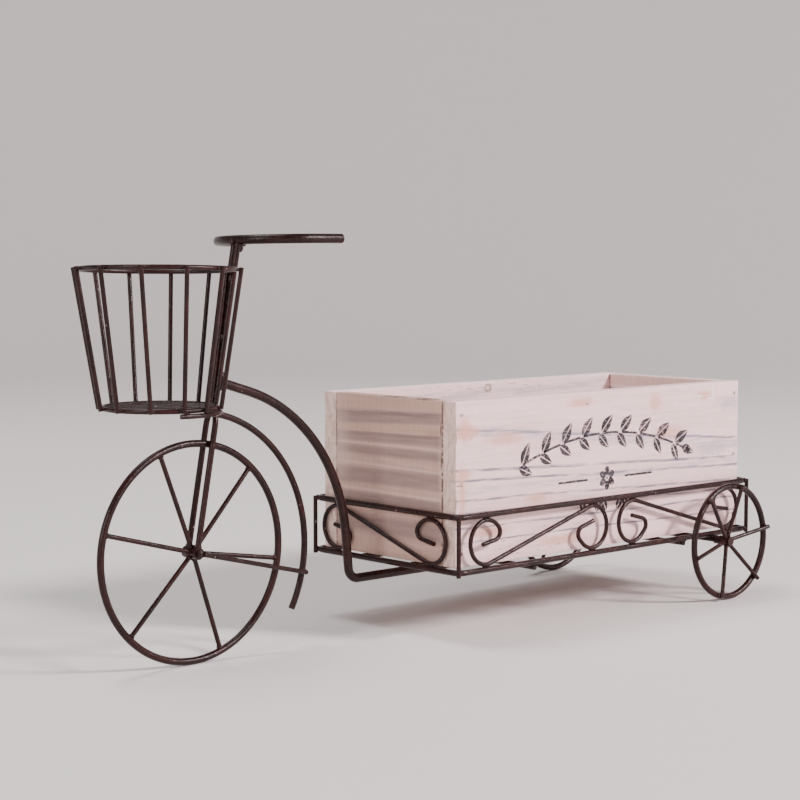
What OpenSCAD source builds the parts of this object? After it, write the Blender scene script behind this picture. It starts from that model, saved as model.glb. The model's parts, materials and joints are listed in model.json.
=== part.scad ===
// Wire tricycle planter: a bent-wire tricycle frame with a round basket on the
// stem, a scrolled rack with a lift-out wooden planter box, one tall front
// wheel and two small rear wheels.
// Millimetres. X runs from the front wheel to the rear wheels, Y runs across,
// Z points up. The origin lies on the ground in the middle of the overall box.

/* [Planter box] */
// Length of the wooden box along X
box_l = 293; // [260:1:320]
// Width of the wooden box
box_w = 130; // [115:1:150]
// Height of the wooden box
box_h = 108; // [95:1:140]
// Thickness of the long side boards
side_t = 12; // [8:0.5:14]
// Thickness of the end boards
end_t = 10; // [8:0.5:12]
// Thickness of the bottom board
floor_t = 8; // [6:0.5:10]
// Diameter of a nail head
nail_head_d = 2.4; // [2.2:0.1:3.6]
// Diameter of a nail shank
nail_d = 1.6; // [1.2:0.1:2]
// Length of a nail from under its head
nail_l = 24; // [20:1:28]
// Nails down each corner of the box
nails_per_corner = 3; // [2:1:4]
// Distance of the first and last nail from the board's edge
nail_edge = 9; // [7:1:24]

/* [Rack] */
// Diameter of the two rail loops round the box
rail_d = 4; // [3:0.2:5]
// Height between the lower and the upper rail
rail_rise = 36; // [33:1:42]
// Free gap between a rail and the side of the box
rack_side_gap = 3.5; // [2:0.5:6]
// Free gap between a rail and the end of the box
rack_end_gap = 0.5; // [0.4:0.1:2]
// Centreline radius of the rail corners
rail_corner = 6; // [5:0.5:7]
// Diameter of the corner posts
post_d = 3; // [2.4:0.2:4]
// Length of a post below the centre of the lower rail
post_over = 2.6; // [2.2:0.2:5]
// Length of a post above the centre of the upper rail
post_over_top = 1.2; // [0.6:0.2:5]
// Diameter of the bars that cross under the lower rail
cross_bar_d = 3.5; // [3:0.25:5]
// Distance from the middle of the rack to each cross bar
cross_bar_x = 78; // [60:1:100]
// Diameter of the two long bars under the box
long_bar_d = 4; // [3:0.2:4]
// Distance from the centre plane to each long bar
long_bar_y = 24; // [16:1:32]

/* [Scrolls] */
// Diameter of the scroll wire
scroll_d = 3; // [2.4:0.2:3.6]
// Distance of a side scroll from the end of the rail
side_scroll_margin = 9.1; // [7.5:0.1:12]
// Distance of a side scroll from the middle of the rack
side_scroll_mid = 4.9; // [2.5:0.1:8]
// Distance of an end scroll from the side rails
end_scroll_margin = 8.5; // [7.5:0.1:12]
// Sideways shift of the front scroll, which is set by hand
front_scroll_shift = 2; // [0:0.2:3]
// Angle through which an outer curl turns past its half circle
curl_turn = 50; // [40:1:60]
// Angle through which a curl next to the middle of the rack turns past its half circle
mid_curl_turn = 45; // [40:1:60]
// Radius of the innermost turn of a curl
curl_tip_r = 5; // [4:0.5:6]
// Angle through which that innermost turn bends
curl_tip_turn = 120; // [100:1:130]
// Straight length at the end of a curl
curl_tip_l = 12; // [6:0.5:14]

/* [Front wheel] */
// Centreline radius of the front rim
front_rim_r = 67; // [60:0.5:70]
// Diameter of the front rim rod
front_rim_d = 4.5; // [4:0.25:4.75]
// Diameter of the front hub
front_hub_d = 7.5; // [7:0.25:9]
// Distance from the front of the box to the front axle
front_hub_ahead = 161; // [158:1:180]
// Angles of the front spokes, from +X towards +Z
front_spoke_angles = [-9, 48, 111, 165, 225, 288];
// Diameter of the front axle pin
front_pin_d = 3; // [2.5:0.25:3.5]

/* [Rear wheels] */
// Centreline radius of a rear rim
rear_rim_r = 40.25; // [36:0.25:46]
// Diameter of the rear rim rod
rear_rim_d = 4.5; // [3:0.25:5]
// Diameter of a rear hub
rear_hub_d = 7; // [6.8:0.2:9]
// Length of a rear hub
rear_hub_l = 8; // [6:0.5:12]
// Lean of the rear spokes from the hub out to the rim
rear_dish = 9; // [0:0.5:12]
// Free gap between the rack and a rear hub
rear_wheel_gap = 5.5; // [4:0.5:19]
// Distance from the rear of the box to the rear axle
rear_axle_inset = 36; // [20:1:44]
// Diameter of the rear axle
rear_axle_d = 4; // [3:0.25:4.5]
// Outside diameter of the spacer between rack and wheel
spacer_d = 6; // [5.5:0.25:7]
// Angles of the rear spokes, from +X towards +Z
rear_spoke_angles = [10, 77, 129, 191, 252, 314];
// Diameter of every spoke
spoke_d = 3; // [2.4:0.1:3]

/* [Fork and handlebar] */
// Diameter of the two fork rods
fork_d = 3.8; // [3.4:0.1:4.4]
// Backward rake of the fork
fork_rake = 10.5; // [6:0.5:13]
// Distance of each fork rod from the centre plane beside the wheel
fork_half = 4.6; // [4.5:0.1:6]
// Length of a fork rod from the eye to the bend that closes the fork
fork_close_at = 78; // [75:1:84]
// Radius of the two bends that close the fork
fork_bend_r = 20; // [14:1:26]
// Diameter of the eye at the foot of a fork rod
fork_eye_d = 7.5; // [7:0.25:9]
// Diameter of the heads of the front axle pin
front_head_d = 4.6; // [4:0.2:5]
// Thickness of those heads
front_head_l = 1.6; // [0.8:0.2:2.4]
// Height of the handlebar's centreline at the stem
bar_z = 260; // [250:0.2:270]
// Diameter of the handlebar rod
bar_d = 6; // [5:0.2:7]
// Half the width of the handlebar
bar_half = 40; // [34:1:48]
// Straight part of the left handlebar arm
bar_arm_left = 15.5; // [5:0.5:40]
// Straight part of the right handlebar arm
bar_arm_right = 1; // [1:0.5:40]
// Tilt of the hand-set handlebar, left arm up
bar_tilt = 1.5; // [0:0.5:5]
// Distance of the handlebar's middle from the stem, towards the right
bar_shift = 5; // [0:0.5:8]

/* [Main tube and fender] */
// Diameter of the main tube
tube_d = 6; // [5:0.2:6.6]
// Height at which the main tube meets the stem
tube_top_z = 173.2; // [168:0.1:182]
// Downward slope of the main tube at the stem
tube_slope = 17; // [14:0.5:20]
// Straight length of the main tube behind the stem
tube_first_l = 25; // [20:1:32]
// Radius of the long bow of the main tube
tube_bow_r = 113; // [108:0.5:122]
// Forward lean of the leg below the bow
tube_lean = 5.5; // [4:0.5:12]
// Radius of the tight bend at the foot of the leg
tube_foot_r = 8; // [7:0.5:12]
// Length of the main tube past the rear cross bar
tube_over = 8; // [4:1:14]
// Diameter of the fender rod
fender_d = 4.2; // [3.6:0.2:4.6]
// Centreline radius of the fender
fender_r = 88; // [84:0.5:92]
// Distance of the fender's centre behind the axle
fender_back = 0.6; // [0:0.1:8]
// Distance of the fender's centre below the axle
fender_down = 2; // [0:0.5:5]
// Angle at which the fender ends, below the level of the axle
fender_end = 29; // [20:0.5:40]
// Diameter of the fender stay
stay_d = 3; // [2.4:0.2:3.2]
// Angle of the fender stay below the level of the axle
stay_drop = 14; // [8:0.5:24]
// Length of the stay past the middle of the fender rod
stay_over = 1.2; // [0:0.2:3]

/* [Basket] */
// Centreline radius of the top ring
top_ring_r = 47.2; // [44:0.1:56]
// Sideways offset of the hand-set top ring
top_ring_shift = 3.5; // [0:0.1:5]
// Centreline radius of the bottom ring
bottom_ring_r = 33.9; // [30:0.1:42]
// Height of the top ring
top_ring_z = 242.3; // [236:0.1:244]
// Height of the bottom ring
bottom_ring_z = 159.8; // [159:0.1:170]
// Diameter of the ring wire
ring_d = 3; // [2.4:0.2:3.6]
// Diameter of the upright basket wires
basket_wire_d = 2.8; // [2.2:0.2:3.2]
// Slope of the hand-set top ring
ring_tilt = 2.4; // [0:0.2:3]
// Direction in which the top ring slopes up, from +X towards +Y
ring_tilt_towards = 227; // [180:1:270]
// Directions of the upright wires at the top ring
basket_wire_angles = [15, 45, 75, 104, 139, 164, 194, 224, 254.5, 284, 320, 358];
// Directions of the same wires at the bottom ring
basket_foot_angles = [15, 45, 78, 106, 139, 164, 193, 226.5, 257.5, 282, 320, 358];
// Direction of the wires of the basket floor
floor_wire_dir = -58; // [-70:1:-40]
// Distances of the floor wires from the basket's middle
floor_wire_offsets = [-24, -13, -2, 9, 20];
// Diameter of the support bow under the basket
bow_d = 3; // [2.4:0.2:3.6]
// Direction in which the support bow ends, from +X towards +Y
bow_end = 254; // [200:1:330]

/* [Hidden] */
$fn = 48;

iron = [0.24, 0.16, 0.14];
pale_wood = [0.87, 0.81, 0.77];
tan_wood = [0.74, 0.65, 0.56];
steel = [0.45, 0.43, 0.42];

// Clearances
seat_gap = 0.3; // between pieces that lift off or turn past each other
run_fit = 0.08; // radial, round an axle
weld_gap = 0.01; // between welded pieces of one frame
bend_thin = 0.02; // a bend is this much thinner than the straights it joins
bend_lap = 0.12; // and reaches this far into them
tube_set_back = 1.2; // start of the main tube behind the fork's axis

// Heights that follow from the wheels
front_axle_z = front_rim_r + front_rim_d / 2;
rear_axle_z = rear_rim_r + rear_rim_d / 2;
rail_low_z = rear_axle_z + rear_axle_d / 2 + rail_d / 2 + weld_gap;
rail_top_z = rail_low_z + rail_rise;
box_z = rail_low_z + rail_d / 2 + seat_gap;
cross_bar_z = rail_low_z - rail_d / 2 - cross_bar_d / 2 - weld_gap;
tube_low_z = cross_bar_z - cross_bar_d / 2 - tube_d / 2 - weld_gap;
long_bar_z = cross_bar_z + cross_bar_d / 2 + long_bar_d / 2 + weld_gap;

// The rack's rails, measured from the front of the box
rail_x0 = -(rack_end_gap + rail_d / 2);
rail_x1 = box_l - rail_x0;
rail_y = box_w / 2 + rack_side_gap + rail_d / 2;
rack_mid = box_l / 2;
scroll_r = (rail_rise - rail_d - scroll_d) / 2 - weld_gap;
curl_step = scroll_d / 6; // straight between two turns of an outer curl
mid_curl_step = 4; // and of a curl next to the middle of the rack
scroll_half = scroll_r + scroll_d / 2;
side_scroll_span = box_l / 2 - rail_x0 - side_scroll_margin - side_scroll_mid - 2 * scroll_half;
side_scroll_x = side_scroll_mid + scroll_half + side_scroll_span / 2;
end_scroll_span = 2 * (rail_y - end_scroll_margin - scroll_half);
scroll_z = rail_low_z + rail_rise / 2;

// Axles, measured from the front of the box
front_axle_x = -front_hub_ahead;
rear_axle_x = box_l - rear_axle_inset;

// Fork: the rods run up the raked axis, close in with two bends and meet the handlebar
fork_eye_l = fork_d + 0.4;
front_hub_half = fork_half - fork_eye_l / 2 - seat_gap;
fork_len = (bar_z - front_axle_z) / cos(fork_rake);
fork_top_half = fork_d / 2 + weld_gap;
fork_mid_l = fork_d / 6;
fork_shift = fork_half - fork_top_half;
fork_turn = fork_angle(acos(1 - fork_shift / (2 * fork_bend_r)), 8);
fork_top_l = fork_len - fork_close_at - 2 * fork_bend_r * sin(fork_turn) - fork_mid_l * cos(fork_turn);

// Bend angle that closes the fork, by repeated correction for the short straight between the bends
function fork_angle(a, n) = n == 0 ? a
    : fork_angle(acos(1 - (fork_shift - fork_mid_l * sin(a)) / (2 * fork_bend_r)), n - 1);

// Centre plane position of the fork's axis at height z
function stem_x(z) = front_axle_x + (z - front_axle_z) * tan(fork_rake);
// Distance of a fork rod from the centre plane at height z, along a straight between its bends' ends
function stem_y(z) = let (s = (z - front_axle_z) / cos(fork_rake) - fork_close_at)
    fork_half - fork_shift * min(1, max(0, s / (2 * fork_bend_r * sin(fork_turn))));

// Main tube: the leg's length closes the height between stem and rack
tube_bow = 90 - tube_lean - tube_slope;
tube_foot_turn = 90 - tube_lean;
bow_drop = tube_bow_r * (cos(tube_slope) - cos(tube_slope + tube_bow));
foot_drop = tube_foot_r * (1 - cos(tube_foot_turn));
tube_leg = (tube_top_z - tube_low_z - tube_first_l * sin(tube_slope) - bow_drop - foot_drop) / cos(tube_lean);
tube_start_x = stem_x(tube_top_z) + tube_set_back;
bow_run = tube_bow_r * (sin(tube_slope + tube_bow) - sin(tube_slope));
tube_foot_x = tube_start_x + tube_first_l * cos(tube_slope) + bow_run
    + tube_leg * sin(tube_lean) + tube_foot_r * sin(tube_foot_turn);
tube_end_x = rack_mid + cross_bar_x + tube_over;

// Fender: its top end reaches the fork's axis
fender_x = front_axle_x + fender_back;
fender_z = front_axle_z - fender_down;
fender_top_z = fender_z + sqrt(fender_r * fender_r - pow(stem_x(fender_z + fender_r) - fender_x, 2));
fender_start = acos((stem_x(fender_top_z) - fender_x) / fender_r);

// Basket: its rearmost wire lies against the stem
basket_slope = atan((top_ring_r - bottom_ring_r) / (top_ring_z - bottom_ring_z));
basket_lean = atan((top_ring_r - bottom_ring_r + top_ring_shift) / (top_ring_z - bottom_ring_z)); // steepest wire
wire_out = (ring_d + basket_wire_d) / 2 / cos(basket_lean) + weld_gap;
function basket_x(z, r) = stem_x(z) - fork_d / 2 / cos(fork_rake) - basket_wire_d / 2 / cos(basket_slope)
    - wire_out - r - weld_gap;
// Height above the ring's middle of a point of the tilted top ring
function ring_lift(dx, dy) = (dx * cos(ring_tilt_towards) + dy * sin(ring_tilt_towards)) * tan(ring_tilt);
top_ring_x = basket_x(top_ring_z + ring_lift(top_ring_r + wire_out, 0), top_ring_r);
bottom_ring_x = basket_x(bottom_ring_z, bottom_ring_r);
bow_z = bottom_ring_z - (ring_d + bow_d) / 2 - weld_gap;
bow_r = stem_x(bow_z) - fork_d / 2 / cos(fork_rake) - bow_d / 2 - weld_gap - bottom_ring_x;
wire_over = ring_d / 2 - 0.3;

// Where upright wire i passes the bottom and the top ring, and its direction
function wire_foot(i) = let (a = basket_foot_angles[i])
    [bottom_ring_x, 0, bottom_ring_z] + (bottom_ring_r + wire_out) * [cos(a), sin(a), 0];
function wire_head(i) = let (a = basket_wire_angles[i], top = (top_ring_r + wire_out) * [cos(a), sin(a), 0])
    [top_ring_x, top_ring_shift, top_ring_z + ring_lift(top.x, top.y)] + top;
function wire_along(i) = let (v = wire_head(i) - wire_foot(i)) v / norm(v);

// The middle of the overall length is the origin
wire_front = min([for (i = [0:len(basket_wire_angles) - 1]) let (u = wire_along(i).x)
    wire_head(i).x + u * wire_over - basket_wire_d / 2 * sqrt(1 - u * u)]);
overall_front = min(front_axle_x - front_rim_r - front_rim_d / 2, wire_front,
    top_ring_x - top_ring_r - ring_d / 2);
overall_rear = rear_axle_x + rear_rim_r + rear_rim_d / 2;
origin_x = (overall_front + overall_rear) / 2;

// Rear wheels
hub_inner_y = rail_y + rail_d / 2 + rear_wheel_gap;
hub_outer_y = hub_inner_y + rear_hub_l;
spoke_root_y = hub_outer_y - spoke_d / 2 / cos(rear_dish) - 0.2; // where a spoke leaves the hub
spoke_foot_y = spoke_root_y + (rear_rim_r - rear_hub_d / 2) * tan(rear_dish); // where it passes the rim
rear_track = spoke_foot_y - ((rear_rim_d + spoke_d) / 2 + weld_gap) / cos(rear_dish);
cap_l = 1.5;
cap_d = rear_hub_d - 0.6;
rear_spoke_end = rear_rim_r + rear_rim_d / 2 - 0.5;

// Moves the model from the box's front face to the origin
module place() {
    translate([-origin_x, 0, 0]) children();
}

// A straight rod between two points
module rod(p, q, d) {
    v = q - p;
    translate(p) rotate([0, acos(v.z / norm(v)), atan2(v.y, v.x)]) cylinder(d = d, h = norm(v));
}

// A ring of wire that lies flat
module ring(r, d) {
    rotate_extrude($fn = 96) translate([r, 0]) circle(d = d);
}

// A bend of a wire that runs along +X; a positive angle turns towards +Y
module bend(r, angle, d) {
    lap = bend_lap / r * 180 / PI;
    mirror([0, angle < 0 ? 1 : 0, 0]) translate([0, r, 0]) rotate([0, 0, -90 - lap])
        rotate_extrude(angle = abs(angle) + 2 * lap, $fn = 96) translate([r, 0])
            circle(d = d - bend_thin, $fn = 48);
}

// A bent wire in the XY plane: each step is a straight length, a bend radius and an angle
module wire(steps, d, i = 0) {
    run = steps[i][0];
    r = steps[i][1];
    angle = steps[i][2];
    if (run > 0) rotate([0, 90, 0]) cylinder(d = d, h = run);
    if (angle != 0) translate([run, 0, 0]) bend(r, angle, d);
    if (i + 1 < len(steps))
        translate([run + r * sin(abs(angle)), sign(angle) * r * (1 - cos(angle)), 0])
            rotate([0, 0, angle]) wire(steps, d, i + 1);
}

// Stands a drawing of the XY plane up in the XZ plane
module upright() {
    rotate([90, 0, 0]) children();
}

// Main tube: from the stem over the long bow and the foot bend to under the rack
module main_tube() {
    color(iron) place() difference() {
        translate([tube_start_x, 0, tube_top_z]) upright() rotate([0, 0, -tube_slope]) wire([
            [tube_first_l, tube_bow_r, -tube_bow],
            [tube_leg, tube_foot_r, tube_foot_turn],
            [tube_end_x - tube_foot_x, 0, 0]
        ], tube_d);
        fork_rods(fork_d + 2 * weld_gap);
    }
}

// The two fork rods without their eyes; side is -1 for the left and 1 for the right rod
module fork_rod(side, d) {
    translate([front_axle_x, side * fork_half, front_axle_z]) rotate([0, fork_rake - 90, 0]) wire([
        [fork_close_at, fork_bend_r, -side * fork_turn],
        [fork_mid_l, fork_bend_r, side * fork_turn],
        [fork_top_l, 0, 0]
    ], d);
}

module fork_rods(d) {
    for (side = [-1, 1]) fork_rod(side, d);
}

// One fork rod with the eye for the axle, coped to the handlebar
module fork(side) {
    eye_y = side * fork_half;
    color(iron) place() difference() {
        union() {
            fork_rod(side, fork_d);
            translate([front_axle_x, eye_y, front_axle_z]) rotate([90, 0, 0])
                cylinder(d = fork_eye_d, h = fork_eye_l, center = true);
        }
        translate([front_axle_x, eye_y, front_axle_z]) rotate([90, 0, 0])
            cylinder(d = front_pin_d + 2 * weld_gap, h = 4 * fork_d, center = true);
        bar_solid(bar_d + 2 * weld_gap);
    }
}

// The handlebar: a half circle in front and an arm on each side
module bar_solid(d) {
    reach = sqrt(bar_half * bar_half - bar_shift * bar_shift);
    translate([stem_x(bar_z) + reach, 0, bar_z]) rotate([-bar_tilt, 0, 0])
        translate([bar_arm_left, bar_shift - bar_half, 0]) rotate([0, 0, 180])
            wire([[bar_arm_left, bar_half, -180], [bar_arm_right, 0, 0]], d);
}

module handlebar() {
    color(iron) place() bar_solid(bar_d);
}

// Fender rod over the front wheel, welded between the fork rods
module fender() {
    color(iron) place() difference() {
        translate([fender_x, 0, fender_z]) upright() rotate([0, 0, -fender_end])
            rotate_extrude(angle = fender_end + fender_start, $fn = 96) translate([fender_r, 0])
                circle(d = fender_d);
        fork_rods(fork_d + 2 * weld_gap);
    }
}

// Stay from the outside of the left fork eye to the side of the fender
module fender_stay() {
    start_y = -(fork_half + (fork_eye_l + stay_d) / 2 + weld_gap);
    end_y = -((fender_d + stay_d) / 2 + 0.03);
    along = fender_back * cos(stay_drop) + fender_down * sin(stay_drop);
    reach = along + sqrt(fender_r * fender_r - pow(fender_back, 2) - pow(fender_down, 2) + along * along);
    a = [front_axle_x + fork_eye_d * 0.3, start_y, front_axle_z - fork_eye_d * 0.3 * tan(stay_drop)];
    b = [front_axle_x + reach * cos(stay_drop), end_y, front_axle_z - reach * sin(stay_drop)];
    color(iron) place() difference() {
        rod(a, b + (b - a) / norm(b - a) * stay_over, stay_d);
        translate([front_axle_x, 0, front_axle_z]) rotate([90, 0, 0])
            cylinder(d = front_head_d + 2 * weld_gap, h = 4 * abs(start_y), center = true);
    }
}

// Axle pin through the fork eyes, with a round head on each end
module front_axle() {
    outer = fork_half + fork_eye_l / 2 + weld_gap;
    color(iron) place() translate([front_axle_x, 0, front_axle_z]) rotate([90, 0, 0]) {
        cylinder(d = front_pin_d, h = 2 * outer, center = true);
        for (side = [-1, 1]) translate([0, 0, side * (outer + front_head_l / 2)])
            cylinder(d = front_head_d, h = front_head_l, center = true);
    }
}

module basket_top_ring() {
    color(iron) place() translate([top_ring_x, top_ring_shift, top_ring_z])
        rotate([0, 0, ring_tilt_towards]) rotate([0, -ring_tilt, 0]) ring(top_ring_r, ring_d);
}

module basket_bottom_ring() {
    color(iron) place() translate([bottom_ring_x, 0, bottom_ring_z]) ring(bottom_ring_r, ring_d);
}

// Upright wires on the outside of both rings
module basket_wires() {
    color(iron) place() for (i = [0:len(basket_wire_angles) - 1])
        rod(wire_foot(i) - wire_along(i) * (ring_d / 2 - 0.35), wire_head(i) + wire_along(i) * wire_over,
            basket_wire_d);
}

// Parallel wires across the bottom ring, coped to its inside
module basket_floor() {
    color(iron) place() translate([bottom_ring_x, 0, bottom_ring_z]) rotate([0, 0, floor_wire_dir])
        for (y = floor_wire_offsets) difference() {
            half = sqrt(bottom_ring_r * bottom_ring_r - y * y);
            translate([-half, y, 0]) rotate([0, 90, 0]) cylinder(d = basket_wire_d, h = 2 * half);
            ring(bottom_ring_r, ring_d + 2 * weld_gap);
        }
}

// Bow that carries the basket: from the front of the fork round under the left of the ring
module basket_bow() {
    past_fork = asin(stem_y(bow_z) / bow_r) + 3;
    color(iron) place() translate([bottom_ring_x, 0, bow_z]) rotate([0, 0, bow_end])
        rotate_extrude(angle = 360 + past_fork - bow_end, $fn = 96) translate([bow_r, 0]) circle(d = bow_d);
}

// A closed rail loop with rounded corners, centred on the rack
module rail_loop() {
    half_x = (rail_x1 - rail_x0) / 2;
    straight_x = half_x - rail_corner;
    straight_y = rail_y - rail_corner;
    for (side = [-1, 1]) {
        translate([-straight_x, side * rail_y, 0]) rotate([0, 90, 0]) cylinder(d = rail_d, h = 2 * straight_x);
        translate([side * half_x, -straight_y, 0]) rotate([-90, 0, 0]) cylinder(d = rail_d, h = 2 * straight_y);
    }
    for (turn = [0:3]) {
        sx = turn == 0 || turn == 3 ? 1 : -1;
        sy = turn < 2 ? 1 : -1;
        translate([sx * straight_x, sy * straight_y, 0]) rotate([0, 0, 90 * turn])
            rotate_extrude(angle = 90, $fn = 96) translate([rail_corner, 0]) circle(d = rail_d, $fn = 48);
    }
}

module rack_top_rail() {
    color(iron) place() translate([rack_mid, 0, rail_top_z]) rail_loop();
}

module rack_bottom_rail() {
    color(iron) place() translate([rack_mid, 0, rail_low_z]) rail_loop();
}

// Posts on the outside of the four rail corners
module rack_posts() {
    out = rail_corner + (rail_d + post_d) / 2 + weld_gap;
    for (sx = [-1, 1], sy = [-1, 1]) {
        x = rack_mid + sx * ((rail_x1 - rail_x0) / 2 - rail_corner + out * cos(45));
        y = sy * (rail_y - rail_corner + out * cos(45));
        color(iron) place() translate([x, y, rail_low_z - post_over])
            cylinder(d = post_d, h = rail_rise + post_over + post_over_top);
    }
}

// Bars that cross under the lower rail and rest on the main tube
module rack_cross_bars() {
    for (side = [-1, 1]) color(iron) place()
        translate([rack_mid + side * cross_bar_x, -rail_y, cross_bar_z]) rotate([-90, 0, 0])
            cylinder(d = cross_bar_d, h = 2 * rail_y);
}

// Long bars on the cross bars, which carry the middle of the box
module rack_long_bars() {
    x0 = rail_x0 + rail_d / 2 + weld_gap;
    for (side = [-1, 1]) color(iron) place() translate([x0, side * long_bar_y, long_bar_z])
        rotate([0, 90, 0]) cylinder(d = long_bar_d, h = box_l - 2 * x0);
}

// One S scroll in the XZ plane: a straight between two curls that wind the same way
module scroll(span, turns, steps) {
    tangent = asin(2 * scroll_r / span);
    run = sqrt(span * span / 4 - scroll_r * scroll_r);
    upright() for (half = [0, 1]) rotate([0, 0, 180 * half + 180 + tangent]) wire([
        [run, scroll_r, -180 - tangent - turns[half]],
        [steps[half], curl_tip_r, -curl_tip_turn],
        [curl_tip_l, 0, 0]
    ], scroll_d);
}

// Side scroll; side is -1 for the left side, end is -1 for the front half
module side_scroll(side, end) {
    color(iron) place() translate([rack_mid + end * side_scroll_x, side * rail_y, scroll_z])
        mirror([end > 0 ? 1 : 0, 0, 0])
            scroll(side_scroll_span, [curl_turn, mid_curl_turn], [curl_step, mid_curl_step]);
}

// End scroll; end is -1 for the front of the rack
module end_scroll(end) {
    shift = end < 0 ? front_scroll_shift : 0;
    color(iron) place() translate([rack_mid + end * (rail_x1 - rail_x0) / 2, shift, scroll_z])
        rotate([0, 0, 90]) scroll(end_scroll_span, [curl_turn, curl_turn], [curl_step, curl_step]);
}

// Rear axle under the lower rail
module rear_axle() {
    color(iron) place() translate([rear_axle_x, 0, rear_axle_z]) rotate([90, 0, 0])
        cylinder(d = rear_axle_d, h = 2 * (hub_outer_y + seat_gap), center = true);
}

// Caps on the ends of the rear axle that keep the wheels on
module axle_caps() {
    for (side = [-1, 1]) color(iron) place()
        translate([rear_axle_x, side * (hub_outer_y + seat_gap + weld_gap + cap_l / 2), rear_axle_z])
            rotate([90, 0, 0]) cylinder(d = cap_d, h = cap_l, center = true);
}

// Spacers on the rear axle between the rack and the hubs
module axle_spacers() {
    y0 = rail_y + rail_d / 2 + 1;
    y1 = hub_inner_y - seat_gap;
    for (side = [-1, 1]) color(iron) place()
        translate([rear_axle_x, side * (y0 + y1) / 2, rear_axle_z]) rotate([90, 0, 0]) difference() {
            cylinder(d = spacer_d, h = y1 - y0, center = true);
            cylinder(d = rear_axle_d + 2 * weld_gap, h = y1 - y0 + 2, center = true);
        }
}

// Spokes that stand on a hub and lean by dish out of the wheel's plane
module spokes(angles, hub_d, reach, dish = 0) {
    for (a = angles) difference() {
        rotate([0, -a, 0]) translate([hub_d / 2, 0, 0]) rotate([0, 0, dish]) translate([-0.5, 0, 0])
            rotate([0, 90, 0]) cylinder(d = spoke_d, h = (reach - hub_d / 2) / cos(dish) + 0.5);
        rotate([90, 0, 0]) cylinder(d = hub_d + 2 * weld_gap, h = 4 * spoke_d, center = true);
        children();
    }
}

module front_rim() {
    color(iron) place() translate([front_axle_x, 0, front_axle_z]) upright() ring(front_rim_r, front_rim_d);
}

// Front spokes, coped to the inside of the rim
module front_spokes() {
    color(iron) place() translate([front_axle_x, 0, front_axle_z])
        spokes(front_spoke_angles, front_hub_d, front_rim_r)
            upright() ring(front_rim_r, front_rim_d + 2 * weld_gap);
}

module front_hub() {
    color(iron) place() translate([front_axle_x, 0, front_axle_z]) rotate([90, 0, 0]) difference() {
        cylinder(d = front_hub_d, h = 2 * front_hub_half, center = true);
        cylinder(d = front_pin_d + 2 * run_fit, h = 2 * front_hub_half + 2, center = true);
    }
}

// side is -1 for the left and 1 for the right rear wheel
module rear_rim(side) {
    color(iron) place() translate([rear_axle_x, side * rear_track, rear_axle_z])
        upright() ring(rear_rim_r, rear_rim_d);
}

// Rear spokes lean out from the hub to lie against the outer side of the rim
module rear_spokes(side) {
    color(iron) place() translate([rear_axle_x, side * spoke_root_y, rear_axle_z])
        spokes(rear_spoke_angles, rear_hub_d, rear_spoke_end, side * rear_dish);
}

module rear_hub(side) {
    color(iron) place() translate([rear_axle_x, side * (hub_inner_y + hub_outer_y) / 2, rear_axle_z])
        rotate([90, 0, 0]) difference() {
            cylinder(d = rear_hub_d, h = rear_hub_l, center = true);
            cylinder(d = rear_axle_d + 2 * run_fit, h = rear_hub_l + 2, center = true);
        }
}

// Height of nail i above the bottom of the box
function nail_z(i) = nail_edge + i * (box_h - 2 * nail_edge) / (nails_per_corner - 1);
// Middle of an end board, where the corner nails go in
function nail_x(end) = end < 0 ? end_t / 2 : box_l - end_t / 2;

// One nail with its head on the outside of a side board; grow opens the hole for it
module nail(side, end, i, grow) {
    translate([nail_x(end), side * box_w / 2, box_z + nail_z(i)]) rotate([side * 90, 0, 0]) {
        translate([0, 0, -grow]) cylinder(d = nail_d + 2 * grow, h = nail_l + 2 * grow, $fn = 24);
        translate([0, 0, -0.2]) cylinder(d = nail_head_d + 2 * grow, h = 1.2 + grow, $fn = 24);
    }
}

// All nails of one side and end
module corner_nails(side, end, grow) {
    for (i = [0:nails_per_corner - 1]) nail(side, end, i, grow);
}

// Long side board, which covers the ends of the end boards
module box_side(side) {
    color(pale_wood) place() difference() {
        translate([0, side > 0 ? box_w / 2 - side_t : -box_w / 2, box_z]) cube([box_l, side_t, box_h]);
        for (end = [-1, 1]) corner_nails(side, end, weld_gap);
    }
}

// End board between the side boards
module box_end(end) {
    width = box_w - 2 * side_t - 2 * weld_gap;
    color(tan_wood) place() difference() {
        translate([end > 0 ? box_l - end_t : 0, -width / 2, box_z]) cube([end_t, width, box_h]);
        for (side = [-1, 1]) corner_nails(side, end, weld_gap);
    }
}

// Bottom board between the sides and the ends
module box_bottom() {
    length = box_l - 2 * end_t - 2 * weld_gap;
    width = box_w - 2 * side_t - 2 * weld_gap;
    color(tan_wood) place() translate([end_t + weld_gap, -width / 2, box_z]) cube([length, width, floor_t]);
}

module box_nails() {
    color(steel) place() for (side = [-1, 1], end = [-1, 1]) corner_nails(side, end, 0);
}

main_tube();
fork(-1);  // fork_left
fork(1);  // fork_right
handlebar();
fender();
fender_stay();
front_axle();
basket_top_ring();
basket_bottom_ring();
basket_wires();
basket_floor();
basket_bow();
rack_top_rail();
rack_bottom_rail();
rack_posts();
rack_cross_bars();
rack_long_bars();
end_scroll(-1);  // scroll_front
end_scroll(1);  // scroll_rear
side_scroll(-1, -1);  // scroll_left_front
side_scroll(-1, 1);  // scroll_left_rear
side_scroll(1, -1);  // scroll_right_front
side_scroll(1, 1);  // scroll_right_rear
rear_axle();
axle_caps();
axle_spacers();
front_rim();
front_spokes();
front_hub();
rear_rim(-1);  // rear_rim_left
rear_spokes(-1);  // rear_spokes_left
rear_hub(-1);  // rear_hub_left
rear_rim(1);  // rear_rim_right
rear_spokes(1);  // rear_spokes_right
rear_hub(1);  // rear_hub_right
box_side(-1);  // box_side_left
box_side(1);  // box_side_right
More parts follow.
